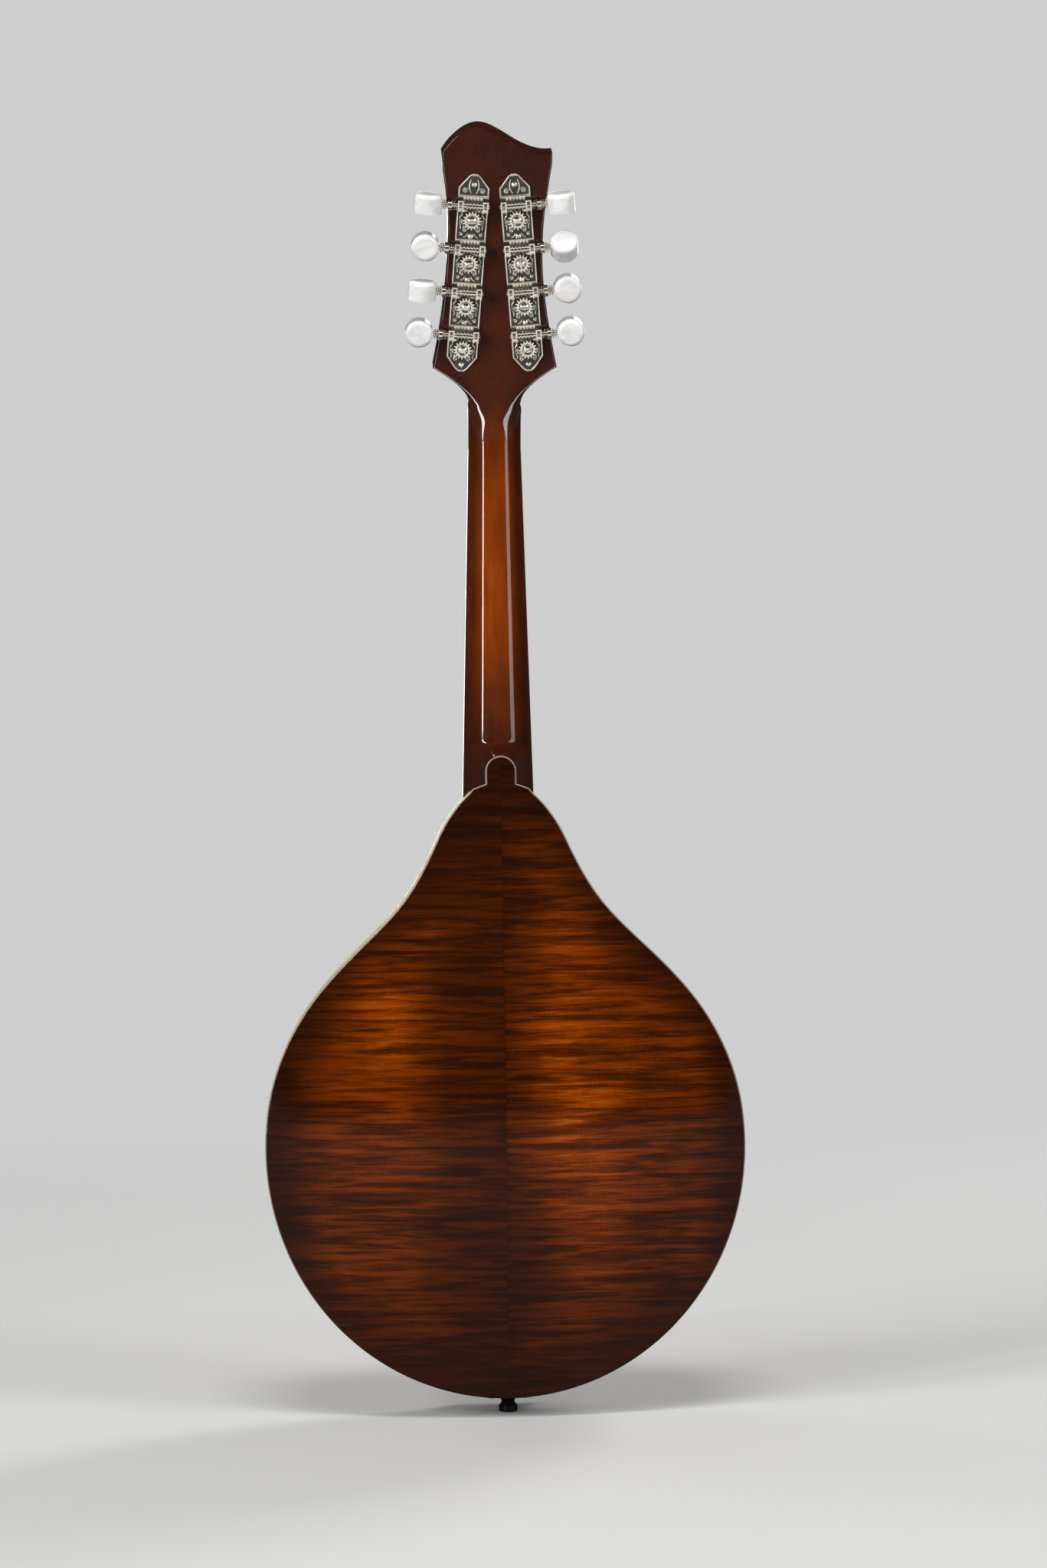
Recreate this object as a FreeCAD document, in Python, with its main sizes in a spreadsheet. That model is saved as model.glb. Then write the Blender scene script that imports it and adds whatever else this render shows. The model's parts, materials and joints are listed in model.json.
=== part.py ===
"""Carved A-style mandolin with engraved open-gear tuning machines, in millimetres.

The instrument stands on its tail: +Z runs up the neck, the strings face -Y and the back faces +Y,
and the treble side is +X. The pieces are laid out from the tail edge of the body, and every node is
then lifted so that the origin is the centre of the strap pin's head.
"""
import FreeCAD, Part
import math
import os
import re
import Sketcher
from FreeCAD import Placement, Rotation, Vector

doc = FreeCAD.newDocument("mandolin")
sheet = doc.addObject("Spreadsheet::Sheet", "dims")

# Driving dimensions: millimetres and degrees.
DIMENSIONS = {
    # body
    "body_width": 254.0,
    "wide_height": 133.0,
    "shoulder_height": 325.0,
    "rim_depth": 38.0,
    "rim_thick": 2.2,
    "plate_overhang": 0.8,
    "edge_thick": 4.0,
    "top_rise": 14.0,
    "back_rise": 12.0,
    "binding_width": 1.8,
    "tongue_half": 8.2,
    "tongue_top": 339.8,
    "lining_width": 6.0,
    "lining_depth": 8.0,
    # neck and fingerboard
    "scale_length": 352.0,
    "nut_height": 506.0,
    "board_front": -20.3,
    "neck_angle": 5.5,
    "head_angle": 14.0,
    "board_thick": 5.5,
    "board_nut_width": 28.3,
    "board_growth": 0.0543,
    "board_length": 262.0,
    "board_binding": 1.5,
    "nut_thick": 4.6,
    "head_thick": 14.0,
    "veneer_thick": 1.5,
    "rod_radius": 2.4,
    # bridge and tailpiece
    "base_length": 112.0,
    "base_width": 12.0,
    "stud_spacing": 53.0,
    "stud_radius": 2.0,
    "wheel_radius": 7.0,
    "wheel_thick": 2.4,
    "saddle_length": 78.0,
    "saddle_width": 6.4,
    "sheet_metal": 1.0,
    "tailpiece_width": 40.0,
    "cover_length": 72.0,
    "pin_head_radius": 5.0,
    "pin_drop": 8.5,
    # tuning machines
    "gear_spacing": 23.0,
    "first_gear_up": 54.6,
    "first_gear_out": 17.2,
    "plate_angle": 4.46,
    "plate_width": 16.0,
    "plate_thick": 1.2,
    "gear_teeth": 16,
    "gear_tip_radius": 4.9,
    "gear_root_radius": 3.8,
    "gear_thick": 2.8,
    "gear_bottom": 3.4,
    "worm_pitch": 1.728,
    "worm_tip_radius": 3.3,
    "worm_core_radius": 2.1,
    "worm_offset": 7.5,
    "worm_turns": 5,
    "shaft_radius": 1.4,
    "ear_width": 3.0,
    "shaft_height": 4.8,
    "post_radius": 3.0,
    "bushing_radius": 4.0,
    "button_start": 16.2,
    "button_length": 14.6,
    "button_thick": 10.2,
}
for row, (alias, value) in enumerate(DIMENSIONS.items(), start=1):
    sheet.set(f"A{row}", alias)
    sheet.set(f"B{row}", repr(value))
    sheet.setAlias(f"B{row}", alias)
doc.recompute()

# The same cells as plain numbers, for shapes that a formula makes.
S = {alias: float(sheet.get(alias)) for alias in DIMENSIONS}
RUNNING = 0.05  # radial clearance of everything that turns or slides
GLUE = 0.02  # gap left between glued faces, so that neighbouring solids never overlap


# ---------------------------------------------------------------- helpers
def expression(text):
    """A formula written in cell names, as a FreeCAD expression."""
    swap = lambda word: "dims." + word[0] if word[0] in DIMENSIONS else word[0]
    return re.sub(r"[a-z][a-z_0-9]*", swap, text)


def bind(obj, **sizes):
    """Bind properties to the sheet, or set them when a plain number is given."""
    for name, size in sizes.items():
        if isinstance(size, str):
            obj.setExpression(name, expression(size))
        else:
            setattr(obj, name, size)
    return obj


def box(name, length, width, height, corner):
    """Part box whose sizes are formulas, with its lowest corner at a point."""
    made = bind(doc.addObject("Part::Box", name), Length=length, Width=width, Height=height)
    made.Placement.Base = Vector(*corner)
    return made


def rod(name, radius, height, start, axis=(0, 0, 1)):
    """Part cylinder that starts at a point and runs along an axis."""
    made = bind(doc.addObject("Part::Cylinder", name), Radius=radius, Height=height)
    made.Placement = Placement(Vector(*start), Rotation(Vector(0, 0, 1), Vector(*axis)))
    return made


def cut(name, base, *tools):
    """Base minus each tool."""
    made = base
    for n, tool in enumerate(tools):
        step = doc.addObject("Part::Cut", f"{name}_cut{n}")
        step.Base, step.Tool = made, tool
        made = step
    return made


def fuse(name, *shapes):
    made = doc.addObject("Part::MultiFuse", name)
    made.Shapes = list(shapes)
    return made


def group(name, *members):
    """Separate solids that share one node."""
    made = doc.addObject("Part::Compound", name)
    made.Links = list(members)
    return made


def mirrored(name, source):
    """The same piece reflected to the other side of the centre line."""
    made = doc.addObject("Part::Mirroring", name)
    made.Source, made.Normal = source, Vector(1, 0, 0)
    return made


def shaped(name, shape):
    """A piece whose surface comes from a formula."""
    made = doc.addObject("Part::Feature", name)
    made.Shape = shape
    return made


def sketch(body, role, name):
    """An empty sketch on one of a body's own origin planes."""
    made = body.newObject("Sketcher::SketchObject", name)
    plane = next(f for f in body.Origin.OriginFeatures if f.Role == role)
    made.AttachmentSupport = (plane, [""])
    made.MapMode = "FlatFace"
    return made


def draw_polygon(profile, points):
    """Closed line loop in a sketch, with its corners joined."""
    first = profile.GeometryCount
    ends = points[1:] + points[:1]
    for a, b in zip(points, ends):
        profile.addGeometry(Part.LineSegment(Vector(*a, 0), Vector(*b, 0)), False)
    for n in range(len(points)):
        following = first + (n + 1) % len(points)
        constrain(profile, "Coincident", first + n, 2, following, 1)


def constrain(profile, *terms):
    return profile.addConstraint(Sketcher.Constraint(*terms))


def draw_circle(profile, centre, radius):
    """Circle in a sketch, with its radius bound to a formula."""
    circle = profile.addGeometry(Part.Circle(Vector(*centre, 0), Vector(0, 0, 1), 1.0), False)
    n = constrain(profile, "Radius", circle, 1.0)
    profile.setExpression(f"Constraints[{n}]", expression(radius))
    return circle


def pad(body, profile, length, name="pad", **more):
    made = body.newObject("PartDesign::Pad", name)
    made.Profile = profile
    bind(made, Length=length, **more)
    return made


def pocket(body, profile, name="pocket", **more):
    """Pocket right through the body, both ways."""
    made = body.newObject("PartDesign::Pocket", name)
    made.Profile = profile
    made.Type, made.Midplane = 1, True
    bind(made, **more)
    return made


def turned(name, outline, role="XZ_Plane"):
    """A turned piece: a closed outline of (radius, height) revolved about its own Z axis."""
    body = doc.addObject("PartDesign::Body", name)
    profile = sketch(body, role, name + "_profile")
    draw_polygon(profile, outline)
    made = body.newObject("PartDesign::Revolution", name + "_turning")
    made.Profile = profile
    made.ReferenceAxis = (profile, ["V_Axis"])
    made.Angle = 360
    doc.recompute()
    return body


NODES = []


def node(label, made, frame=None):
    """Give a piece its node name and its place, lifted from the tail edge to the row's origin."""
    lift = Placement(Vector(0, 0, S["pin_drop"]), Rotation())
    made.Label = label
    made.Placement = lift * (frame or Placement()) * made.Placement
    NODES.append(made)
    return made


# ---------------------------------------------------------------- frames
def tilt(degrees):
    """Leaning towards the back by an angle, about the X axis."""
    return Rotation(Vector(1, 0, 0), -degrees)


# The neck frame: z up the fingerboard, y from its front face into the wood, origin at the nut.
NECK = Placement(Vector(0, S["board_front"], S["nut_height"]), tilt(S["neck_angle"]))
BOARD_DROP = 4.0  # from the fingerboard's face back to the headstock's
HEAD_TILT = tilt(S["neck_angle"] + S["head_angle"])
HEAD_FRONT = NECK.multVec(Vector(0, BOARD_DROP, S["nut_thick"]))
HEAD_WOOD = S["head_thick"] + S["veneer_thick"]
# The headstock frame: z up the slope, y out of its back face, origin behind the nut.
HEAD = Placement(HEAD_FRONT + HEAD_TILT.multVec(Vector(0, HEAD_WOOD, 0)), HEAD_TILT)


# ---------------------------------------------------------------- body outline and arching
HALF = S["body_width"] / 2
# Treble half of the outline above the widest point: (half-width, height above the tail).
UPPER_BOUT = [
    (HALF, 133.0),
    (122.6, 168.0),
    (104.4, 206.7),
    (78.9, 235.8),
    (51.2, 265.0),
    (36.4, 291.0),
    (27.4, 308.0),
    (18.0, 319.3),
    (8.2, 325.0),
]


def bout_curve(side):
    """The upper bout as one smooth curve, from the widest point to the shoulder."""
    curve = Part.BSplineCurve()
    points = [Vector(side * x, 0, z) for x, z in UPPER_BOUT]
    curve.interpolate(Points=points, InitialTangent=Vector(0, 0, 1), FinalTangent=Vector(-side, 0, 0.35))
    return curve


OUTLINE_STEPS = 30


def half_outline(distance, side):
    """One half of the outline, moved inwards by a distance, from the tail up to the shoulder."""
    deep = S["wide_height"]
    points = []
    for k in range(OUTLINE_STEPS):
        turn = math.pi / 2 * k / OUTLINE_STEPS
        place = Vector(HALF * math.sin(turn), 0, deep * (1 - math.cos(turn)))
        out = Vector(math.sin(turn) / HALF, 0, -math.cos(turn) / deep).normalize()
        points.append(place - out * distance)
    bout = bout_curve(1)
    first, last = bout.FirstParameter, bout.LastParameter
    for k in range(OUTLINE_STEPS + 1):
        at = first + (last - first) * k / OUTLINE_STEPS
        along = bout.tangent(at)[0]
        points.append(bout.value(at) - Vector(along.z, 0, -along.x) * distance)
    curve = Part.BSplineCurve()
    points = [Vector(side * p.x, 0, p.z) for p in points]
    curve.interpolate(Points=points, InitialTangent=Vector(side, 0, 0), FinalTangent=Vector(-side, 0, 0.35))
    return curve.toShape()


def inset_wire(distance, tongue=False):
    """The body's closed outline moved inwards, in the plane y = 0, with or without its tongue."""
    halves = [half_outline(distance, side) for side in (1, -1)]
    reach, top = S["tongue_half"], S["tongue_top"]
    shoulders = [half.Vertexes[-1].Point for half in halves]
    if tongue:
        spring = top - reach
        right, left = Vector(reach, 0, spring), Vector(-reach, 0, spring)
        crown = Part.Arc(right, Vector(0, 0, top), left).toShape()
        cap = [Part.makeLine(shoulders[0], right), crown, Part.makeLine(left, shoulders[1])]
    else:
        cap = [Part.makeLine(*shoulders)]
    return Part.Wire(Part.__sortEdges__(halves + cap))


def prism(wire, front, back):
    """Everything inside an outline between two depths."""
    face = Part.Face(wire)
    face.translate(Vector(0, front, 0))
    return face.extrude(Vector(0, back - front, 0))


def outline_half_width(height):
    """Half the body's width at a height above the tail."""
    wide = S["wide_height"]
    if height <= wide:
        return HALF * math.sqrt(max(0.0, 1 - ((height - wide) / wide) ** 2))
    for (x0, z0), (x1, z1) in zip(WIDTHS, WIDTHS[1:]):
        if z0 <= height <= z1:
            return x0 + (x1 - x0) * (height - z0) / (z1 - z0)
    return S["tongue_half"]


WIDTHS = [(p.x, p.z) for p in bout_curve(1).discretize(160)]
ARCH_POWER = 1.6  # how broad the crown of the carving is
ARCH_REACH = 200.0  # how far above the widest point the carving runs out


def arch(x, z):
    """Share of the full rise at a point of a carved plate: 1 at the crown, 0 with no slope at the rim."""
    width = outline_half_width(z)
    across = min(1.0, abs(x) / max(width, 1e-6))
    if z < S["wide_height"]:
        drop = (z - S["wide_height"]) / S["wide_height"]
        inside = max(0.0, 1 - (x / HALF) ** 2 - drop**2)
        return inside**ARCH_POWER
    along = max(0.0, 1 - ((z - S["wide_height"]) / ARCH_REACH) ** 2)
    return (1 - across**2) ** ARCH_POWER * along**1.3


ARCH_STEPS_ACROSS = 44
ARCH_STEPS_UP = 56


def arch_face(level, rise, side):
    """The carved surface over one side of the body, from the centre seam outwards."""
    reach = HALF + 4
    top = S["tongue_top"] + 4
    rows = []
    for i in range(ARCH_STEPS_UP + 1):
        z = -4 + (top + 4) * i / ARCH_STEPS_UP
        xs = [reach * j / ARCH_STEPS_ACROSS for j in range(ARCH_STEPS_ACROSS + 1)]
        rows.append([Vector(side * x, level + rise * arch(x, z), z) for x in xs])
    surface = Part.BSplineSurface()
    surface.interpolate(rows)
    return surface.toShape()


def carved_half(level, rise, thick, wire, side):
    """One bookmatched half of a carved plate, of even thickness, inside an outline."""
    blank = arch_face(level, rise, side).extrude(Vector(0, thick, 0))
    low, high = sorted((level, level + rise + thick))
    return blank.common(prism(wire, low - 40, high + 40))


# ---------------------------------------------------------------- body pieces
def f_hole(side):
    """A long curved sound hole: two round eyes joined by a stem that narrows at both turns."""
    line = [(47, 196, 1.2), (50, 204, 1.4), (58, 204, 2.0), (63, 190, 2.9), (66, 154, 3.4)]
    line += [(69, 120, 2.9), (75, 105, 2.0), (85, 103, 1.4), (90, 111, 1.2)]
    edges = []
    for hand in (1, -1):
        points = []
        for n, (x, z, half) in enumerate(line):
            before, after = line[max(n - 1, 0)], line[min(n + 1, len(line) - 1)]
            dx, dz = after[0] - before[0], after[1] - before[1]
            size = math.hypot(dx, dz)
            points.append(Vector(side * (x - hand * half * dz / size), 0, z + hand * half * dx / size))
        edges.append(points)
    curves = [Part.BSplineCurve() for _ in edges]
    for curve, points in zip(curves, edges):
        curve.interpolate(points)
    ends = [Part.makeLine(edges[0][k], edges[1][k]) for k in (0, -1)]
    stem = Part.Wire(Part.__sortEdges__([c.toShape() for c in curves] + ends))
    deep, start = 60, -60
    hole = prism(stem, start, start + deep)
    for x, z, radius in ((46, 194, 4.0), (90, 113, 5.2)):
        eye = Part.makeCylinder(radius, deep, Vector(side * x, start, z), Vector(0, 1, 0))
        hole = hole.fuse(eye)
    return hole


FRONT, BACK = -S["rim_depth"] / 2, S["rim_depth"] / 2
FACE = FRONT - S["edge_thick"]  # the soundboard's outer face at its edge
SIDES = (-1, 1)
RIB_OUT = S["plate_overhang"]
RIB_IN = RIB_OUT + S["rim_thick"]

back_wire = inset_wire(0, tongue=True)
back_halves = [carved_half(BACK, S["back_rise"], S["edge_thick"], back_wire, s) for s in SIDES]
node("back_plate", shaped("back", Part.makeCompound(back_halves)))

top_wire = inset_wire(S["binding_width"] + GLUE)
top_halves = []
for s in SIDES:
    blank = carved_half(FRONT, -S["top_rise"], -S["edge_thick"], top_wire, s)
    top_halves.append(blank.cut(f_hole(s)))
node("soundboard", shaped("top", Part.makeCompound(top_halves)))

TENON = Part.makeBox(18, 26, 30, Vector(-9, -15, 300))
TENON_ROOM = Part.makeBox(18.1, 26.1, 30.1, Vector(-9.05, -15.05, 299.95))
PIN_HOLE = Part.makeCylinder(3.0 + RUNNING, 40, Vector(0, 0, -10))
TAIL_SCREWS = [(0, -13), (-9, 6), (9, 6)]
TAIL_HOLES = [PIN_HOLE] + [Part.makeCylinder(1.25, 20, Vector(x, y, -5)) for x, y in TAIL_SCREWS]


def band(out, inside, front, back, side):
    """A strip that follows the outline, between two insets, on one side of the centre line."""
    ring = prism(inset_wire(out), front, back).cut(prism(inset_wire(inside), front - 1, back + 1))
    half = Part.makeBox(200, back - front + 4, 400, Vector(0 if side > 0 else -200, front - 2, -20))
    return ring.common(half)


rib_halves = [band(RIB_OUT, RIB_IN, FRONT, BACK, s).cut([TENON_ROOM] + TAIL_HOLES) for s in SIDES]
node("ribs", shaped("bent_ribs", Part.makeCompound(rib_halves)))

binding = prism(inset_wire(0), FACE, FRONT).cut(prism(inset_wire(S["binding_width"]), FACE - 1, FRONT + 1))
node("body_binding", shaped("binding_ring", binding))

inner = prism(inset_wire(RIB_IN + GLUE), FRONT + GLUE, BACK - GLUE)
block_up = Part.makeBox(62, 60, 60, Vector(-31, -30, 276))
block_down = Part.makeBox(52, 60, 18, Vector(-26, -30, 0))
neck_block = inner.common(block_up).cut(TENON_ROOM)
tail_block = inner.common(block_down).cut(TAIL_HOLES)
node("neck_block", shaped("neck_end_block", neck_block))
node("tail_block", shaped("tail_end_block", tail_block))

lining_strips = []
for s in SIDES:
    for low, high in ((FRONT + GLUE, FRONT + S["lining_depth"]), (BACK - S["lining_depth"], BACK - GLUE)):
        strip = band(RIB_IN + GLUE, RIB_IN + S["lining_width"], low, high, s)
        lining_strips.append(strip.cut(block_up).cut(block_down))
node("linings", shaped("lining_strips", Part.makeCompound(lining_strips)))

bars = []
for s in SIDES:
    bar = Part.makeBox(6, 22, 150, Vector(-3, -44, -75))
    bar.Placement = Placement(Vector(s * 28, 0, 146), Rotation(Vector(0, 1, 0), -4 * s))
    above = arch_face(FRONT + GLUE, -S["top_rise"], s).extrude(Vector(0, -60, 0))
    bars.append(bar.cut(above))
node("tone_bars", shaped("bars", Part.makeCompound(bars)))


# ---------------------------------------------------------------- neck, headstock and fingerboard
# Headstock outline, treble then bass, as (out from the centre line, up the slope).
WING_CURVE = [(14.15, 20.0), (15.6, 29.0), (19.7, 34.0), (25.8, 38.9), (32.9, 43.5)]
TREBLE_SIDE = [(32.9, 43.5), (28.4, 68.5), (25.3, 96.0), (24.5, 125.0), (27.5, 157.5)]
CROWN = [(27.5, 157.5), (20.2, 166.3), (9.1, 171.8), (-4.3, 167.0), (-17.0, 159.8), (-30.4, 157.5)]
BASS_SIDE = [(-30.4, 157.5), (-26.6, 128.0), (-25.3, 100.0), (-28.4, 68.5), (-32.9, 43.5)]


def curve_through(points, y=0.0):
    curve = Part.BSplineCurve()
    curve.interpolate([Vector(x, y, z) for x, z in points])
    return curve.toShape()


def head_wire(bottom):
    """The headstock's outline in its own frame, starting a little above the nut."""
    wing = [(14.15, bottom)] + WING_CURVE[:1]
    bass_wing = [(-x, z) for x, z in reversed(WING_CURVE)]
    edges = [
        Part.makeLine(Vector(-14.15, 0, bottom), Vector(14.15, 0, bottom)),
        Part.makeLine(Vector(14.15, 0, bottom), Vector(14.15, 0, wing[1][1])),
        curve_through(WING_CURVE),
        curve_through(TREBLE_SIDE),
        curve_through(CROWN),
        curve_through(BASS_SIDE),
        curve_through(bass_wing),
        Part.makeLine(Vector(-14.15, 0, wing[1][1]), Vector(-14.15, 0, bottom)),
    ]
    return Part.Wire(Part.__sortEdges__(edges))


def board_half(z):
    """Half the fingerboard's width at a height in the neck frame (0 at the nut, negative below it)."""
    return (S["board_nut_width"] - S["board_growth"] * z) / 2


def neck_section(z, depth):
    """Closed D-shaped section of the neck under the fingerboard."""
    half, top = board_half(z) - 0.1, S["board_thick"]
    steps, fullness = 12, 2.25
    points = []
    for k in range(steps + 1):
        angle = math.pi * k / steps
        c, s = math.cos(angle), math.sin(angle)
        x = half * math.copysign(abs(c) ** (2 / fullness), c)
        points.append(Vector(x, top + 1.5 + (depth - 1.5) * s ** (2 / fullness), z))
    curve = Part.BSplineCurve()
    curve.interpolate(points)
    lid = [Vector(points[-1].x, top, z), Vector(points[0].x, top, z)]
    edges = [curve.toShape(), Part.makeLine(points[-1], lid[0])]
    edges += [Part.makeLine(lid[0], lid[1]), Part.makeLine(lid[1], points[0])]
    return Part.Wire(edges)


def heel_section(y, half, top, rise):
    """Horizontal slice of the heel: a flat foot, straight sides and a round nose."""
    foot = 312.0
    a, b = Vector(-half, y, foot), Vector(half, y, foot)
    c, d = Vector(half, y, top - rise), Vector(-half, y, top - rise)
    nose = Part.Arc(c, Vector(0, y, top), d).toShape()
    return Part.Wire([Part.makeLine(a, b), Part.makeLine(b, c), nose, Part.makeLine(d, a)])


NECK_STATIONS = [(16, 13.6), (0, 14.2), (-60, 15.4), (-120, 16.6), (-196, 17.6)]
HEEL_GAP = 0.1  # between the heel's foot and the back's tongue
HEEL_STATIONS = [
    (-27.0, 17.6, 356.0, 5.0),
    (-18.0, 16.8, 352.0, 7.0),
    (-11.0, 15.4, 348.4, 8.4),
    (-5.0, 13.4, 345.2, 9.0),
    (2.0, 11.4, 342.8, 8.8),
    (10.0, 9.7, 341.0, 8.4),
    (BACK - HEEL_GAP, 8.2, 339.8, 8.1),
]
shaft = Part.makeLoft([neck_section(z, d) for z, d in NECK_STATIONS], True, False)
shaft.Placement = NECK
heel = Part.makeLoft([heel_section(*row) for row in HEEL_STATIONS], True, False)
head_blank = prism(head_wire(0.0), -S["head_thick"], 0)
head_blank.Placement = HEAD
arch_room = [arch_face(FACE - 1.0, -S["top_rise"], s).extrude(Vector(0, 90, 0)) for s in SIDES]
over_top = Part.makeBox(26, 11, 72, Vector(-13, S["board_thick"], -254))
over_top.Placement = NECK
for room in arch_room:
    over_top = over_top.cut(room)
body_room = []
for s in SIDES:
    under_top = arch_face(FACE - GLUE, -S["top_rise"], s).extrude(Vector(0, 90, 0))
    body_room.append(under_top.common(prism(inset_wire(-GLUE), FACE - 20, BACK + 30)))
neck_wood = shaft.fuse([heel, head_blank]).cut(body_room).fuse([over_top, TENON])


def in_frame(shape, frame):
    """A tool drawn in the neck's or the headstock's own frame."""
    shape.Placement = frame * shape.Placement
    return shape


def bored(frame, radius, near, far, places=((0, 0),)):
    """Drills for holes that run along a frame's y axis, at places (x, z)."""
    axis = Vector(0, 1, 0)
    drills = [Part.makeCylinder(radius, far - near, Vector(x, near, z), axis) for x, z in places]
    return [in_frame(drill, frame) for drill in drills]


under_board = Part.makeBox(60, 40, 300, Vector(-30, S["board_thick"] - 40, S["nut_thick"] + GLUE - 300))
before_head = Part.makeBox(90, 60, 200, Vector(-45, -S["head_thick"] - 60, 0))
neck_wood = neck_wood.cut([in_frame(under_board, NECK), in_frame(before_head, HEAD)])

ROD_DEPTH = S["board_thick"] + 5.0
channel = in_frame(Part.makeBox(5.0, 8.0, 172, Vector(-2.5, S["board_thick"] - 0.2, -166)), NECK)
rod_pocket = in_frame(Part.makeBox(10, 13, 21, Vector(-5, -HEAD_WOOD - 3, 1.2)), HEAD)
MACHINES = {}  # string name: (side, frame of its machine, at the gear's axis on the headstock's back)
for side, names in ((-1, ("g1", "g2", "d1", "d2")), (1, ("e1", "e2", "a1", "a2"))):
    lean = Rotation(Vector(0, 1, 0), -side * S["plate_angle"])
    foot = Vector(side * S["first_gear_out"], 0, S["first_gear_up"])
    for n, name in enumerate(names):
        spot = foot + lean.multVec(Vector(0, 0, n * S["gear_spacing"]))
        MACHINES[name] = (side, HEAD * Placement(spot, lean))
GEAR_STEPS = [n * S["gear_spacing"] for n in range(4)]
SCREW_BELOW = 9.1  # plate screws sit this far below each gear
PLATE_SCREWS = [(0, z - SCREW_BELOW) for z in GEAR_STEPS] + [(0, GEAR_STEPS[-1] + 18.1)]
COVER_SCREWS = [(0, 26.0), (-7.0, 4.6), (7.0, 4.6)]
holes = []
for side, frame in MACHINES.values():
    holes += bored(frame, S["bushing_radius"] + GLUE, -30, 10)
for name in ("g1", "e1"):
    holes += bored(MACHINES[name][1], 0.8, -8, 1, PLATE_SCREWS)
cover_screw_holes = bored(HEAD, 0.9, -HEAD_WOOD - 1, -HEAD_WOOD + 7, COVER_SCREWS)
neck_wood = neck_wood.cut([channel, rod_pocket] + holes + cover_screw_holes)
node("neck", shaped("neck_wood", neck_wood))

veneer = prism(head_wire(0.6), -HEAD_WOOD, -S["head_thick"] - GLUE)
veneer.Placement = HEAD
veneer = veneer.cut([rod_pocket] + holes + cover_screw_holes)
node("headstock_veneer", shaped("veneer_leaf", veneer))


def board_prism(inset, front, back):
    """The tapering fingerboard between two depths, with its side edges moved in and a bowed end."""
    end = -S["board_length"] + inset
    a, b = board_half(0) - inset, board_half(end) - inset
    bow = Part.Arc(Vector(b, front, end), Vector(0, front, end - 5), Vector(-b, front, end)).toShape()
    edges = [Part.makeLine(Vector(-a, front, 0), Vector(a, front, 0)), bow]
    edges += [Part.makeLine(Vector(a, front, 0), Vector(b, front, end))]
    edges += [Part.makeLine(Vector(-b, front, end), Vector(-a, front, 0))]
    wire = Part.Wire(Part.__sortEdges__(edges))
    return Part.Face(wire).extrude(Vector(0, back - front, 0))


FRET_COUNT = 22
frets, slots = [], []
for n in range(1, FRET_COUNT + 1):
    z = -S["scale_length"] * (1 - 2 ** (-n / 12))
    reach = board_half(z) - 0.3
    crown = Part.makeCylinder(1.1, 2 * reach, Vector(-reach, 0.1, z), Vector(1, 0, 0))
    crown = crown.common(Part.makeBox(2 * reach, 2, 4, Vector(-reach, -2, z - 2)))
    inside = reach - S["board_binding"] - 0.3
    tang = Part.makeBox(2 * inside, 1.6, 0.5, Vector(-inside, -0.2, z - 0.25))
    frets.append(crown.fuse(tang).removeSplitter())
    slots.append(Part.makeBox(2 * inside + 0.1, 2.0, 0.54, Vector(-inside - 0.05, -0.4, z - 0.27)))
dots, dot_seats = [], []
for fret, offsets in ((5, (0,)), (7, (0,)), (10, (0,)), (12, (-6.5, 6.5)), (15, (0,)), (17, (0,))):
    z = -S["scale_length"] * (1 - (2 ** (-fret / 12) + 2 ** (-(fret - 1) / 12)) / 2)
    for x in offsets:
        dots.append(Part.makeCylinder(2.6, 1.0, Vector(x, 0, z), Vector(0, 1, 0)))
        dot_seats.append(Part.makeCylinder(2.6 + GLUE, 1.1, Vector(x, -0.05, z), Vector(0, 1, 0)))
board_core = board_prism(S["board_binding"] + GLUE, 0, S["board_thick"] - GLUE).cut(slots + dot_seats)
board_edge = board_prism(0, 0, S["board_thick"] - GLUE).cut(board_prism(S["board_binding"], -1, 9))
board_edge = board_edge.cut(Part.makeBox(60, 20, 4, Vector(-30, -5, -1.0 + GLUE)))
node("fingerboard", shaped("board_core", board_core), NECK)
node("fingerboard_binding", shaped("board_edge", board_edge), NECK)
node("frets", shaped("fret_wires", Part.makeCompound(frets)), NECK)
node("fret_markers", shaped("dots", Part.makeCompound(dots)), NECK)

rod_start = (0, ROD_DEPTH, -164)
node("truss_rod", rod("rod_bar", "rod_radius", 176, rod_start), NECK)
hexagon = doc.addObject("Part::Prism", "hex_blank")
bind(hexagon, Polygon=6, Circumradius=4.0, Height=6.0)
hexagon.Placement.Base = Vector(0, ROD_DEPTH, 7.4)
bore = rod("hex_bore", "rod_radius + 0.05", 20, (0, ROD_DEPTH, 0))
node("truss_rod_nut", cut("hex_nut", hexagon, bore), NECK)

cover_outline = [(-9.5, 1.4), (9.5, 1.4), (9.6, 6.5), (7.6, 12.0), (5.2, 18.0), (4.2, 24.5), (3.4, 29.0)]
cover_outline += [(1.6, 30.8), (-1.6, 30.8), (-3.4, 29.0), (-4.2, 24.5), (-5.2, 18.0)]
cover_outline += [(-7.6, 12.0), (-9.6, 6.5)]
rod_cover = doc.addObject("PartDesign::Body", "rod_cover_body")
cover_sketch = sketch(rod_cover, "XZ_Plane", "rod_cover_outline")
draw_polygon(cover_sketch, cover_outline)
pad(rod_cover, cover_sketch, 1.6, "rod_cover_leaf")
cover_holes = sketch(rod_cover, "XZ_Plane", "rod_cover_holes")
for place in COVER_SCREWS:
    draw_circle(cover_holes, place, "0.9")
pocket(rod_cover, cover_holes, "rod_cover_drilling")
HEAD_FACE = HEAD * Placement(Vector(0, -HEAD_WOOD - GLUE, 0), Rotation())
node("truss_rod_cover", rod_cover, HEAD_FACE)


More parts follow.
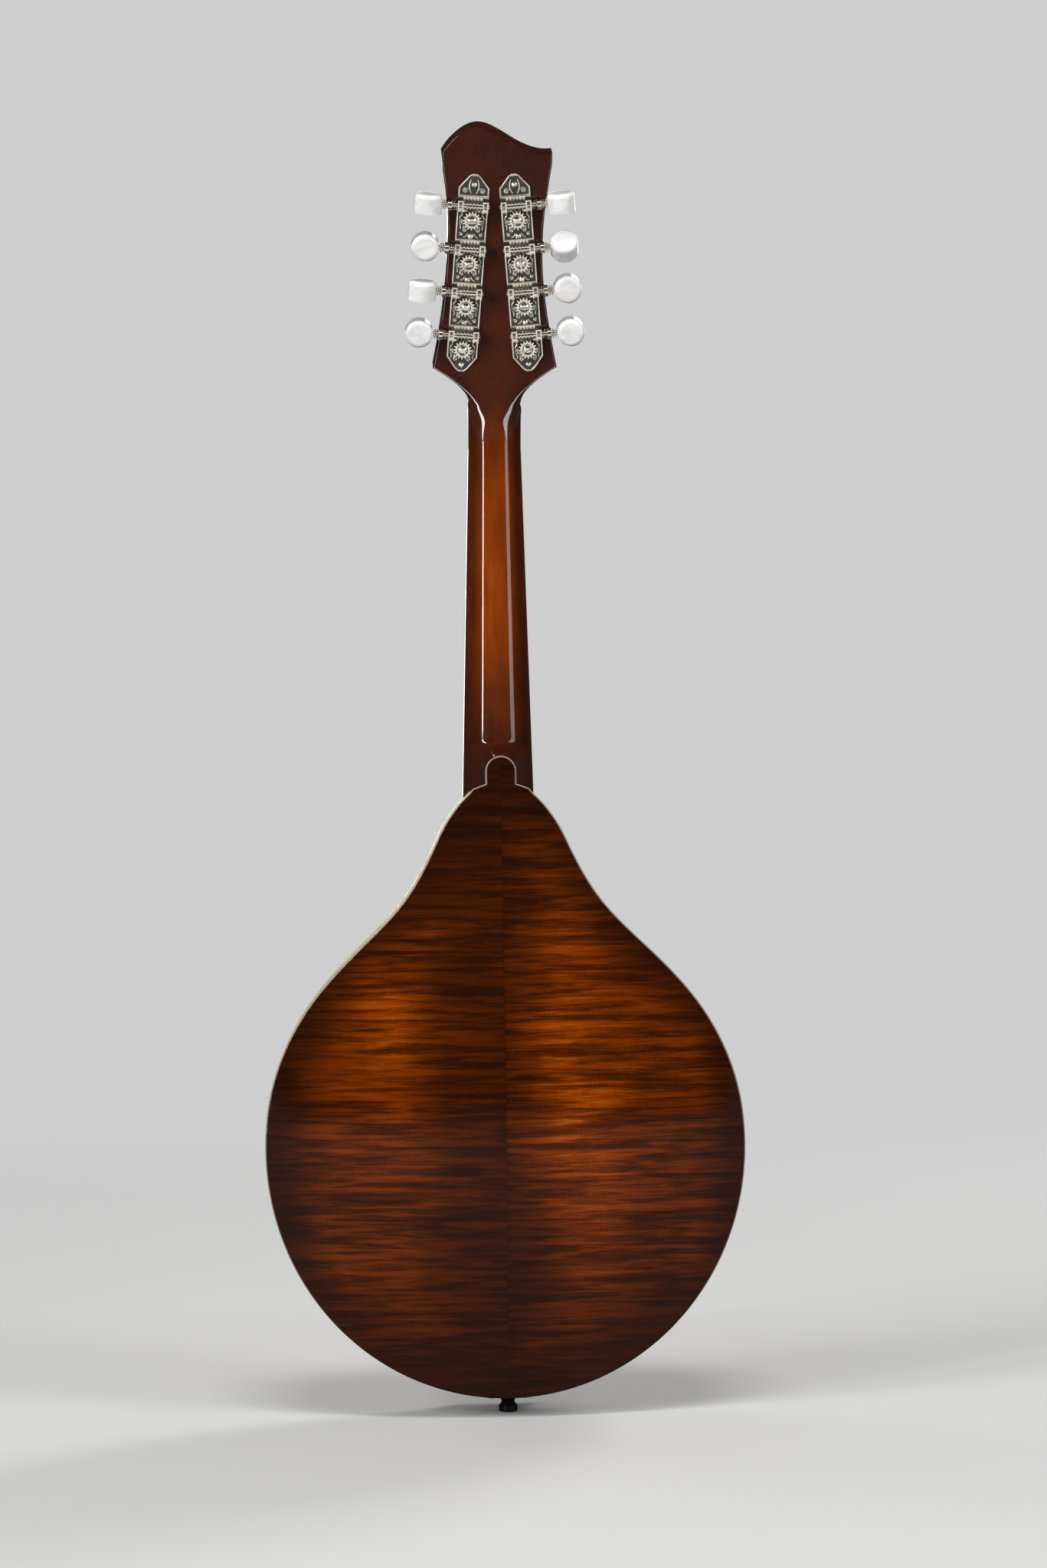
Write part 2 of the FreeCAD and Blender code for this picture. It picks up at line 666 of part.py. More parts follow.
def dome_screw(name, shank, length, head, dome):
    """Slotted screw that points down its own Z axis, with the head's underside at the origin."""
    rim = dome * 0.35
    outline = [(0, -length), (shank * 0.4, -length), (shank, -length + shank), (shank, 0), (head, 0)]
    outline += [(head, rim), (head * 0.82, dome * 0.75), (head * 0.45, dome), (0, dome)]
    blank = turned(name + "_blank", outline)
    slot = box(name + "_slot", 3 * head, head * 0.24, dome, (-1.5 * head, -head * 0.12, dome * 0.45))
    return cut(name, blank, slot)


def placed(name, master, frames):
    """Copies of one piece at several places."""
    copies = []
    for n, frame in enumerate(frames):
        copy = group(f"{name}_{n}", master)
        copy.Placement = frame
        copies.append(copy)
    return group(name, *copies)


OUT_OF_FRONT = Rotation(Vector(1, 0, 0), 90)  # own +Z to -Y
OUT_OF_BACK = Rotation(Vector(1, 0, 0), -90)  # own +Z to +Y
DOWNWARDS = Rotation(Vector(1, 0, 0), 180)  # own +Z to -Z
small_screw = dome_screw("small_screw", 0.86, 5.5, 1.7, 0.9)
seats = [Placement(Vector(x, -1.6 - GLUE, z), OUT_OF_FRONT) for x, z in COVER_SCREWS]
node("truss_cover_screws", placed("cover_screws", small_screw, seats), HEAD_FACE)


# ---------------------------------------------------------------- string paths
NUT_LINE = (-1.7, S["nut_thick"] / 2)  # strings' height over the board, and place along the neck
SADDLE_TOP = -56.0
HOOK_HEIGHT, HOOK_LEVEL, HOOK_RADIUS = 14.0, -31.0, 0.9
COIL_FOOT = -19.0  # the lowest turn on each post, in the headstock frame
# name: radius, place across the nut, the saddle and the hooks, height of the saddle's crest, turns
STRINGS = {
    "g1": (0.50, -11.55, -18.3, -15.4, 152.6, 4),
    "g2": (0.50, -9.65, -15.7, -11.0, 152.6, 4),
    "d1": (0.33, -4.55, -7.0, -6.6, 154.4, 5),
    "d2": (0.33, -2.65, -4.4, -2.2, 154.4, 5),
    "a2": (0.205, 2.65, 4.4, 2.2, 153.0, 5),
    "a1": (0.205, 4.55, 7.0, 6.6, 153.0, 5),
    "e2": (0.14, 9.65, 15.7, 11.0, 154.8, 6),
    "e1": (0.14, 11.55, 18.3, 15.4, 154.8, 6),
}


def string_path(name):
    """Corners of a string's centre line, from its hook over saddle and nut to its post."""
    radius, nut_x, saddle_x, hook_x, crest, _ = STRINGS[name]
    side, frame = MACHINES[name]
    loop = HOOK_RADIUS + 0.03 + radius
    over_nut = NECK.multVec(Vector(nut_x, *NUT_LINE))
    local = frame.inverse().multVec(over_nut)
    ring = S["post_radius"] + 0.03 + radius
    reach = math.hypot(local.x, local.z)
    turn = math.atan2(local.z, local.x) - side * math.acos(ring / reach)
    touch = frame.multVec(Vector(ring * math.cos(turn), COIL_FOOT, ring * math.sin(turn)))
    hook = Vector(hook_x, HOOK_LEVEL, HOOK_HEIGHT + loop)
    return [hook, Vector(saddle_x, SADDLE_TOP, crest), over_nut, touch]


def wire_along(points, radius):
    """Round wire along a path, with a ball at each bend."""
    lengths = []
    for start, end in zip(points, points[1:]):
        lengths.append(Part.makeCylinder(radius, (end - start).Length, start, end - start))
    bends = [Part.makeSphere(radius, bend) for bend in points[1:]]
    return lengths[0].fuse(lengths[1:] + bends)


def coil(radius, turns):
    """Turns of string laid side by side around a post, as one ring about the y axis."""
    bore = S["post_radius"] + 0.03
    edges = []
    for n in range(turns):
        y = COIL_FOOT - 2 * radius * n
        low, high = Vector(bore + radius, y + radius, 0), Vector(bore + radius, y - radius, 0)
        crest = Vector(bore + 2 * radius, y, 0)
        edges += [Part.makeLine(low, crest), Part.makeLine(crest, high)]
    first, last = COIL_FOOT + radius, COIL_FOOT - 2 * radius * (turns - 1) - radius
    edges.append(Part.makeLine(Vector(bore, first, 0), Vector(bore + radius, first, 0)))
    edges.append(Part.makeLine(Vector(bore, last, 0), Vector(bore + radius, last, 0)))
    edges.append(Part.makeLine(Vector(bore, first, 0), Vector(bore, last, 0)))
    face = Part.Face(Part.Wire(Part.__sortEdges__(edges)))
    return face.revolve(Vector(0, 0, 0), Vector(0, 1, 0), 360)


string_room = []  # the same paths a little thicker, to cut the nut and the saddle
for course in "gdae":
    pair = []
    for name in (course + "1", course + "2"):
        radius, turns, hook_x = STRINGS[name][0], STRINGS[name][-1], STRINGS[name][3]
        path = string_path(name)
        loop = Part.makeTorus(HOOK_RADIUS + 0.03 + radius, radius)
        loop.Placement = Placement(Vector(hook_x, HOOK_LEVEL, HOOK_HEIGHT), OUT_OF_FRONT)
        ring = in_frame(coil(radius, turns), MACHINES[name][1])
        pair.append(wire_along(path, radius).fuse([loop, ring]))
        string_room.append(wire_along(path, radius + GLUE))
    node(f"strings_{course}", shaped(f"strings_{course}_pair", Part.makeCompound(pair)))

nut_blank = Part.makeBox(
    S["board_nut_width"],
    S["board_thick"] - GLUE - NUT_LINE[0],
    S["nut_thick"] - GLUE,
    Vector(-S["board_nut_width"] / 2, NUT_LINE[0] - 0.05, GLUE),
)
nut_top = nut_blank.Edges
back_edges = [e for e in nut_top if e.BoundBox.XLength > 20 and e.BoundBox.YMax < 0 and e.BoundBox.ZMin > 2]
nut_blank = nut_blank.makeFillet(1.0, back_edges)
node("nut", shaped("nut_block", in_frame(nut_blank, NECK).cut(string_room)))


# ---------------------------------------------------------------- bridge
BRIDGE_Z = 154.0
STUDS = (-S["stud_spacing"] / 2, S["stud_spacing"] / 2)
BASE_TOP, WHEEL_BACK, SADDLE_FOOT = -43.3, -45.6, -48.05
base_profile = [(-56, -20), (-56, -35.6), (-50, -37.6), (-38, -42.0), (-32, BASE_TOP), (32, BASE_TOP)]
base_profile += [(38, -42.0), (50, -37.6), (56, -35.6), (56, -20)]
base_low, base_high = BRIDGE_Z - S["base_width"] / 2, BRIDGE_Z + S["base_width"] / 2
base_face = Part.Face(Part.makePolygon([Vector(x, y, base_low) for x, y in base_profile + base_profile[:1]]))
bridge_base = base_face.extrude(Vector(0, 0, base_high - base_low))
for s in SIDES:
    outer_arch = arch_face(FACE - GLUE, -S["top_rise"], s)
    bridge_base = bridge_base.cut(outer_arch.extrude(Vector(0, 60, 0)))
seat_spots = [Vector(x, BASE_TOP - 1, BRIDGE_Z) for x in STUDS]
stud_seats = [Part.makeCylinder(S["stud_radius"] + GLUE, 6, spot, Vector(0, 1, 0)) for spot in seat_spots]
node("bridge_base", shaped("base_wood", bridge_base.cut(stud_seats)))

studs = [rod(f"stud_{n}", "stud_radius", 14.0, (x, -38.4, BRIDGE_Z), (0, -1, 0)) for n, x in enumerate(STUDS)]
node("bridge_posts", group("studs", *studs))

KNURLS = 36
knurled = doc.addObject("PartDesign::Body", "thumbwheel_body")
rim = sketch(knurled, "XY_Plane", "knurled_rim")
knurl_points = []
for n in range(2 * KNURLS):
    turn = math.pi * n / KNURLS
    radius = S["wheel_radius"] - 0.35 * (n % 2)
    knurl_points.append((radius * math.cos(turn), radius * math.sin(turn)))
draw_polygon(rim, knurl_points)
pad(knurled, rim, "wheel_thick", "wheel_disc")
wheel_bore = sketch(knurled, "XY_Plane", "wheel_bore")
draw_circle(wheel_bore, (0, 0), "stud_radius + 0.05")
pocket(knurled, wheel_bore, "wheel_boring")
for name, x in zip(("thumbwheel_bass", "thumbwheel_treble"), STUDS):
    node(name, group(name + "_copy", knurled), Placement(Vector(x, WHEEL_BACK, BRIDGE_Z), OUT_OF_FRONT))

half_saddle = S["saddle_length"] / 2
CREST_FOOT = -54.4
saddle_profile = [(-half_saddle, SADDLE_FOOT), (-half_saddle, -50.2), (-25, CREST_FOOT), (25, CREST_FOOT)]
saddle_profile += [(half_saddle, -50.2), (half_saddle, SADDLE_FOOT)]
saddle_low = BRIDGE_Z - S["saddle_width"] / 2
saddle_face = Part.makePolygon([Vector(x, y, saddle_low) for x, y in saddle_profile + saddle_profile[:1]])
saddle = Part.Face(saddle_face).extrude(Vector(0, 0, S["saddle_width"]))
CREST_SPANS = {"g1": (-23, -11.35), "d1": (-11.35, 0), "a1": (0, 11.35), "e1": (11.35, 23)}
for name, (left, right) in CREST_SPANS.items():
    crest = STRINGS[name][4]
    side_view = [(crest - 1.3, CREST_FOOT + 1), (crest - 1.0, SADDLE_TOP), (crest + 1.0, SADDLE_TOP)]
    side_view += [(crest + 1.3, CREST_FOOT + 1), (crest - 1.3, CREST_FOOT + 1)]
    ridge = Part.Face(Part.makePolygon([Vector(left, y, z) for z, y in side_view]))
    saddle = saddle.fuse(ridge.extrude(Vector(right - left, 0, 0)))
stud_holes = [Part.makeCylinder(2.15, 6.3, Vector(x, SADDLE_FOOT, BRIDGE_Z), Vector(0, -1, 0)) for x in STUDS]
node("bridge_saddle", shaped("saddle_wood", saddle.cut(stud_holes + string_room)))


# ---------------------------------------------------------------- tailpiece and strap pin
tab = box("tail_tab", 28, 38, "sheet_metal", (-14, -29, -1.02))
shelf = box("tail_shelf", 39.8, "sheet_metal", 37, (-19.9, -29, -1.02))
tail_parts = [tab, shelf]
for n, (_, _, _, hook_x, _, _) in enumerate(STRINGS.values()):
    tail_parts.append(rod(f"hook_{n}", HOOK_RADIUS, 4.0, (hook_x, -28.5, HOOK_HEIGHT), (0, -1, 0)))
    tail_parts.append(rod(f"hook_cap_{n}", 1.35, 0.6, (hook_x, -32.5, HOOK_HEIGHT), (0, -1, 0)))
tail_drills = [rod("pin_room", 3.05, 5, (0, 0, -3))]
tail_drills += [rod(f"tail_drill_{n}", 1.25, 5, (x, y, -3)) for n, (x, y) in enumerate(TAIL_SCREWS)]
tail_metal = cut("tail_bracket", fuse("tail_blank", *tail_parts), fuse("tail_drills", *tail_drills))
node("tailpiece_base", tail_metal)

tail_screw = dome_screw("tail_screw", 1.2, 12, 2.3, 1.3)
tail_seats = [Placement(Vector(x, y, -1.04), DOWNWARDS) for x, y in TAIL_SCREWS]
node("tailpiece_screws", placed("tail_screws", tail_screw, tail_seats))

half_cover = S["tailpiece_width"] / 2 + S["sheet_metal"]
cover_end = S["cover_length"] - 3.0
cover_side = [(-27.0, -3.0), (-27.6, 30.0), (-29.5, 50.0), (-33.5, cover_end)]
cover_side += [(-43.5, cover_end), (-40.0, 20.0), (-37.0, 2.0), (-34.5, -3.0)]
cover_room = [(-20.0, -2.0), (-20.0, cover_end + 5), (-42.6, cover_end + 5)]
cover_room += [(-39.0, 20.0), (-36.0, 2.0), (-34.0, -2.0)]


def across(profile, half):
    """A side view drawn as (y, z), swept across the centre line."""
    wire = Part.makePolygon([Vector(-half, y, z) for y, z in profile + profile[:1]])
    return Part.Face(wire).extrude(Vector(2 * half, 0, 0))


shell = across(cover_side, half_cover).cut(across(cover_room, half_cover - S["sheet_metal"]))
lips = []
for s in SIDES:
    corner = Vector(s * 19.6 - 0.9, -27.9, 6)
    lips.append(Part.makeBox(1.8, 0.6, 22, corner))
node("tailpiece_cover", shaped("cover_shell", shell.fuse(lips)))

pin_head, head_far = S["pin_head_radius"], -S["pin_drop"] - 1.9
pin_outline = [(0, head_far), (3.6, head_far), (pin_head, head_far + 0.6), (pin_head, head_far + 3.6)]
pin_outline += [(4.2, head_far + 4.2), (3.4, -4.6), (4.2, -3.4), (5.6, -2.6), (5.6, -1.04), (3.0, -1.04)]
pin_outline += [(3.0, 16.0), (2.4, 18.0), (0, 18.0)]
node("end_pin", turned("end_pin_turned", pin_outline))


# ---------------------------------------------------------------- tuning machines
# Each machine has its own frame: x towards its button, y out of the headstock's back.
half_plate, last_gear = S["plate_width"] / 2, GEAR_STEPS[-1]
plate_outline = [(-half_plate, -4.9), (-3.4, -11.0), (-1.5, -12.6), (1.5, -12.6), (3.4, -11.0)]
plate_outline += [(half_plate, -4.9), (half_plate, last_gear + 16.6), (2.6, last_gear + 23.0)]
plate_outline += [(1.0, last_gear + 23.8), (-1.0, last_gear + 23.8), (-2.6, last_gear + 23.0)]
plate_outline += [(-half_plate, last_gear + 16.6)]
plate = doc.addObject("PartDesign::Body", "plate_body")
plate_sketch = sketch(plate, "XZ_Plane", "plate_outline")
draw_polygon(plate_sketch, plate_outline)
pad(plate, plate_sketch, "plate_thick", "plate_sheet", Reversed=True)
plate_holes = sketch(plate, "XZ_Plane", "plate_holes")
for z in GEAR_STEPS:
    draw_circle(plate_holes, (0, z), "2.25")
for place in PLATE_SCREWS:
    draw_circle(plate_holes, place, "0.8")
pocket(plate, plate_holes, "plate_punching")

EAR_START, EAR_TALL, EAR_OUT, EAR_WALL = 5.0, 5.8, 7.6, 0.7
ears, ear_slots = [], []
for n, z in enumerate(GEAR_STEPS):
    worm_z = z + S["worm_offset"]
    ears.append(box(f"cross_bead_{n}", "plate_width", 1.2, 0.8, (-half_plate, 0.6, worm_z + 3.6)))
    bore_start = (-10, S["shaft_height"], worm_z)
    ear_slots.append(rod(f"shaft_bore_{n}", "shaft_radius + 0.05", 20, bore_start, (1, 0, 0)))
    for hand, x in (("in", -EAR_START - S["ear_width"]), ("out", EAR_START)):
        foot = (x, 0.6, worm_z - EAR_TALL / 2)
        ears.append(box(f"ear_{hand}_{n}", "ear_width", EAR_OUT - 0.6, EAR_TALL, foot))
        gap = (x + EAR_WALL, S["plate_thick"], worm_z - EAR_TALL / 2 - 1)
        wide, tall = f"ear_width - {2 * EAR_WALL}", EAR_TALL + 1 - EAR_WALL
        ear_slots.append(box(f"gap_{hand}_{n}", wide, 8, tall, gap))
plate_whole = cut("plate_master", fuse("plate_with_ears", plate, *ears), fuse("ear_gaps", *ear_slots))
plate_pair = {1: plate_whole, -1: mirrored("plate_mirror", plate_whole)}
node("tuner_plate_bass", group("plate_bass_copy", plate_pair[-1]), MACHINES["g1"][1])
node("tuner_plate_treble", group("plate_treble_copy", plate_pair[1]), MACHINES["e1"][1])

plate_screw = dome_screw("plate_screw", 0.75, 6.0, 1.55, 1.0)
plate_seats = []
for name in ("g1", "e1"):
    for n, (x, z) in enumerate(PLATE_SCREWS):
        turn = Rotation(Vector(0, 0, 1), 37 * n + 20 * len(plate_seats))
        seat = Placement(Vector(x, S["plate_thick"] + GLUE, z), OUT_OF_BACK * turn)
        plate_seats.append(MACHINES[name][1] * seat)
node("tuner_plate_screws", placed("plate_screws", plate_screw, plate_seats))

bush_outline = [(3.05, -6.0), (3.05, -16.7), (4.7, -16.7), (5.2, -16.3)]
bush_outline += [(5.2, -15.52), (4.0, -15.52), (4.0, -6.0)]
bushing = turned("bushing", bush_outline)
bush_seats = [frame * Placement(Vector(0, 0, 0), OUT_OF_BACK) for _, frame in MACHINES.values()]
node("tuner_bushings", placed("bushings", bushing, bush_seats))

# the post, with a seat and a journal for the gear, and the string hole
post_outline = [(0, -29.5), (2.2, -29.5), (2.8, -29.0), (3.0, -28.3), (3.0, -0.05), (2.2, -0.05), (2.2, 3.38)]
post_outline += [(1.5, 3.38), (1.5, 6.1), (0.9, 6.1), (0.9, 0.5), (0, 0.5)]
post_blank = turned("post_blank", post_outline)
post = cut("post", post_blank, rod("string_hole", 0.8, 10, (-5, 0, -25.2), (1, 0, 0)))

# the gear: a disc, one tooth, and that tooth repeated around
gear = doc.addObject("PartDesign::Body", "gear")
gear_disc = sketch(gear, "XY_Plane", "gear_disc_outline")
draw_circle(gear_disc, (0, 0), "gear_root_radius")
pad(gear, gear_disc, "gear_thick", "gear_disc")
tooth_sketch = sketch(gear, "XY_Plane", "tooth_outline")
TOOTH_ROOT, TOOTH_TIP = 0.127, 0.046  # half-angles of a tooth
root, tip = S["gear_root_radius"], S["gear_tip_radius"]
foot_x, tip_x = root * math.sin(TOOTH_ROOT), tip * math.sin(TOOTH_TIP)
tooth = [(-foot_x, root - 0.5), (foot_x, root - 0.5), (foot_x, root * math.cos(TOOTH_ROOT))]
tooth += [(tip_x, tip), (-tip_x, tip), (-foot_x, root * math.cos(TOOTH_ROOT))]
draw_polygon(tooth_sketch, tooth)
one_tooth = pad(gear, tooth_sketch, "gear_thick", "tooth")
teeth = gear.newObject("PartDesign::PolarPattern", "teeth")
teeth.Originals = [one_tooth]
teeth.Axis = (gear_disc, ["N_Axis"])
teeth.Angle = 360
teeth.setExpression("Occurrences", "dims.gear_teeth")
gear.Tip = teeth
gear_bore = sketch(gear, "XY_Plane", "gear_bore")
draw_circle(gear_bore, (0, 0), "1.52")
pocket(gear, gear_bore, "gear_boring")
gear_screw = dome_screw("gear_screw", 0.88, 5.4, 2.85, 1.7)
SLOT_ANGLES = {"g1": 30, "g2": 0, "d1": 90, "d2": 50, "e1": -50, "e2": -45, "a1": 40, "a2": 5}

# the worm on its shaft: a turned shaft with beads and a collar, and one long thread
BEADS = ((8.3, 9.0, 2.6), (9.5, 10.2, 2.6), (10.8, 13.3, 3.15), (13.8, 14.5, 2.6), (15.0, 15.7, 2.6))
core, thin, half_worm = S["worm_core_radius"], S["shaft_radius"], 4.95
shaft_outline = [(0, -8.8), (1.0, -8.8), (thin, -8.4), (thin, -half_worm), (core, -half_worm)]
shaft_outline += [(core, half_worm), (thin, half_worm)]
for start, end, radius in BEADS:
    shaft_outline += [(thin, start), (radius - 0.25, start), (radius, start + 0.25)]
    shaft_outline += [(radius, end - 0.25), (radius - 0.25, end), (thin, end)]
shaft_outline += [(thin, 26.0), (0, 26.0)]
worm_core = turned("worm_core", shaft_outline)
worm_height = S["worm_turns"] * S["worm_pitch"]
helix = bind(doc.addObject("Part::Helix", "worm_helix"), Pitch="worm_pitch", Radius="worm_core_radius")
bind(helix, Height="worm_turns * worm_pitch")
helix.Placement.Base = Vector(0, 0, -worm_height / 2)
thread_foot, thread_tip = 0.55, 0.22
inner_r, outer_r = core - 0.4, S["worm_tip_radius"]
thread_section = [(inner_r, -thread_foot), (outer_r, -thread_tip)]
thread_section += [(outer_r, thread_tip), (inner_r, thread_foot)]
section_points = [Vector(x, 0, z - worm_height / 2) for x, z in thread_section + thread_section[:1]]
section = shaped("thread_section", Part.makePolygon(section_points))
thread = doc.addObject("Part::Sweep", "worm_thread")
thread.Sections, thread.Spine = [section], (helix, [])
thread.Solid, thread.Frenet = True, True
worm = fuse("worm_along_z", worm_core, thread)
worm_across = group("worm_across", worm)
worm_across.Placement.Rotation = Rotation(Vector(0, 1, 0), 90)
worms = {1: worm_across, -1: mirrored("worm_mirror", worm_across)}

button = doc.addObject("PartDesign::Body", "button_body")
button_face = sketch(button, "XY_Plane", "button_outline")
draw_circle(button_face, (0, 0), "button_length / 2")
button_disc = pad(button, button_face, "button_thick", "button_disc", Midplane=True)
rounding = button.newObject("PartDesign::Fillet", "button_rounding")
rounding.Base = (button_disc, ["Edge1", "Edge3"])
rounding.Radius = 2.2
doc.recompute()
socket = rod("button_socket", "shaft_radius + 0.02", 12, (-1, 0, 0), (1, 0, 0))
socket.Placement.Base = Vector(-S["button_length"] / 2 - 2, 0, 0)
button_whole = cut("button_master", button, socket)
button_out = group("button_out", button_whole)
button_out.Placement.Base = Vector(S["button_start"] + S["button_length"] / 2, 0, 0)
buttons = {1: button_out, -1: mirrored("button_mirror", button_out)}
# how far each button stands turned from face-on
BUTTON_TURNS = {"g1": 0, "g2": 0, "d1": 45, "d2": 90, "e1": 0, "e2": 90, "a1": 0, "a2": 90}

for name, (side, frame) in MACHINES.items():
    slotted = group(f"gear_screw_{name}", gear_screw)
    slotted.Placement = Placement(Vector(0, 0, S["gear_bottom"] + S["gear_thick"] + GLUE),
                                  Rotation(Vector(0, 0, 1), SLOT_ANGLES[name]))
    gear_up = group(f"gear_{name}", gear)
    gear_up.Placement.Base = Vector(0, 0, S["gear_bottom"])
    assembled = group(f"post_{name}", post, gear_up, slotted)
    node(f"string_post_{name}", assembled, frame * Placement(Vector(0, 0, 0), OUT_OF_BACK))
    shaft_seat = Placement(Vector(0, S["shaft_height"], S["worm_offset"]), Rotation())
    node(f"worm_shaft_{name}", group(f"worm_{name}", worms[side]), frame * shaft_seat)
    face_back = Rotation(Vector(1, 0, 0), -90 + BUTTON_TURNS[name])
    knob_seat = frame * shaft_seat * Placement(Vector(), face_back)
    node(f"button_{name}", group(f"knob_{name}", buttons[side]), knob_seat)

# ---------------------------------------------------------------- checks and files
doc.recompute()
for thing in doc.Objects:
    bad = {"Invalid", "Error"} & set(thing.State)
    if bad:
        raise RuntimeError(f"{thing.Name}: {thing.State}")
for made in NODES:
    if made.Shape.isNull() or not made.Shape.isValid() or not made.Shape.Solids:
        raise RuntimeError(f"{made.Label}: bad shape")
os.makedirs("parts", exist_ok=True)
for made in NODES:
    made.Shape.exportStep(f"parts/{made.Label}.step")
print(len(NODES), "nodes written")
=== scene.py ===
import json
import math

import bmesh
import bpy
import numpy as np
from mathutils import Matrix, Vector

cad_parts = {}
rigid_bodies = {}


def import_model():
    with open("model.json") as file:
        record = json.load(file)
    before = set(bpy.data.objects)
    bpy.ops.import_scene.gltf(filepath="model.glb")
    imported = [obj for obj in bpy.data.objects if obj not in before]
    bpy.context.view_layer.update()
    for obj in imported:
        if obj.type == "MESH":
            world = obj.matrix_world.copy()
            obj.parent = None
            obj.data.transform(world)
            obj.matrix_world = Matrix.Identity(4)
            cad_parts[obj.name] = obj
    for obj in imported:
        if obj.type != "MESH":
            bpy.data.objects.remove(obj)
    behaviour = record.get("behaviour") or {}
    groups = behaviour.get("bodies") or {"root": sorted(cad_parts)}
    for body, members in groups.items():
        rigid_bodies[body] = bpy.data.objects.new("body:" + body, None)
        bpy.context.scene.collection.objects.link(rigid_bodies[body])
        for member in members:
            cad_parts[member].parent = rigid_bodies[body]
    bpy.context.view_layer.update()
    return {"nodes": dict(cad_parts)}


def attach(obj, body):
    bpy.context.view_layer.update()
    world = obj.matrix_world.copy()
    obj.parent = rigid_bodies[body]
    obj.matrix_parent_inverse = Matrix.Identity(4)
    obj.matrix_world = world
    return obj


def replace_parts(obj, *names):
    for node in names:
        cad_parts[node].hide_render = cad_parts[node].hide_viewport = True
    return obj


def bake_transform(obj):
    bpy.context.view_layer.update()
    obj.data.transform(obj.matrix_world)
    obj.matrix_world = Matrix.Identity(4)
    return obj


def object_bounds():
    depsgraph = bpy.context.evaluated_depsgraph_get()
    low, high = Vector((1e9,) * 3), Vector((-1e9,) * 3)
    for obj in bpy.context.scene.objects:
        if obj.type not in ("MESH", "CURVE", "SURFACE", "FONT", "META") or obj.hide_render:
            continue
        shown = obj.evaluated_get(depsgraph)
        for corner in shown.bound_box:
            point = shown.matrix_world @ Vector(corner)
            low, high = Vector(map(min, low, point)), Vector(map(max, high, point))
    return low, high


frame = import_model()
NODES = frame["nodes"]
MM = 0.001
DROP = 8.5  # the tail edge of the body stands this far above the row's origin, in mm


# -------- frames of the neck and the headstock, in mm
def tilt(degrees):
    return Matrix.Rotation(math.radians(-degrees), 4, "X")


NUT_HEIGHT, NECK_LEVEL, NECK_TILT = 506.0, -20.3, 5.5
BOARD_THICK, NUT_THICK, HEAD_WOOD, HEAD_THICK = 5.5, 4.6, 15.5, 14.0
HEAD_DROP, HEAD_TILT = 4.0, 19.5
PLATE_ANGLE, PLATE_OFFSET, FIRST_GEAR, GEAR_STEP = 4.46, 17.2, 54.6, 23.0
NECK = Matrix.Translation((0, NECK_LEVEL, NUT_HEIGHT + DROP)) @ tilt(NECK_TILT)
HEAD_FRONT = NECK @ Vector((0, HEAD_DROP, NUT_THICK))
HEAD = Matrix.Translation(HEAD_FRONT) @ tilt(HEAD_TILT) @ Matrix.Translation((0, HEAD_WOOD, 0))
MACHINES = {}  # for each string: its side, and the frame of its tuning machine's gear
for side, names in ((-1, ("g1", "g2", "d1", "d2")), (1, ("e1", "e2", "a1", "a2"))):
    lean = Matrix.Rotation(math.radians(-side * PLATE_ANGLE), 4, "Y")
    foot = Matrix.Translation((side * PLATE_OFFSET, 0, FIRST_GEAR))
    for n, name in enumerate(names):
        MACHINES[name] = (side, HEAD @ foot @ lean @ Matrix.Translation((0, 0, n * GEAR_STEP)))


def transform(matrix, points):
    """Points (..., 3) through a 4x4 matrix."""
    m = np.array(matrix, float)
    return points @ m[:3, :3].T + m[:3, 3]


# -------- mesh helpers
def new_object(name, verts, faces, body, material, smooth=True):
    """A mesh piece from points in mm, riding on a body."""
    mesh = bpy.data.meshes.new(name)
    mesh.from_pydata([tuple(v) for v in np.asarray(verts, float) * MM], [], faces)
    mesh.validate()
    mesh.update()
    piece = bpy.data.objects.new(name, mesh)
    bpy.context.scene.collection.objects.link(piece)
    for polygon in mesh.polygons:
        polygon.use_smooth = smooth
    mesh.materials.append(material)
    if body:
        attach(piece, body)
    return piece


def grid_faces(rows, columns, start=0, flip=False, wrap=False):
    """Quads over a grid of points stored row by row."""
    faces = []
    for r in range(rows - 1):
        for c in range(columns if wrap else columns - 1):
            d = (c + 1) % columns
            quad = [r * columns + c, r * columns + d, (r + 1) * columns + d, (r + 1) * columns + c]
            faces.append([start + i for i in (quad[::-1] if flip else quad)])
    return faces


CREASE = math.radians(40)


def weld(piece, distance=2e-6, smooth=True):
    """Merge doubled points, turn all faces outwards and keep edges over the crease angle sharp."""
    bm = bmesh.new()
    bm.from_mesh(piece.data)
    bmesh.ops.remove_doubles(bm, verts=bm.verts, dist=distance)
    bmesh.ops.dissolve_degenerate(bm, edges=bm.edges, dist=distance)
    bmesh.ops.recalc_face_normals(bm, faces=bm.faces)
    bm.to_mesh(piece.data)
    bm.free()
    piece.data.set_sharp_from_angle(angle=CREASE)
    for polygon in piece.data.polygons:
        polygon.use_smooth = smooth
    return piece


def float_attribute(piece, name, values):
    layer = piece.data.attributes.new(name, "FLOAT", "POINT")
    layer.data.foreach_set("value", np.asarray(values, np.float32))


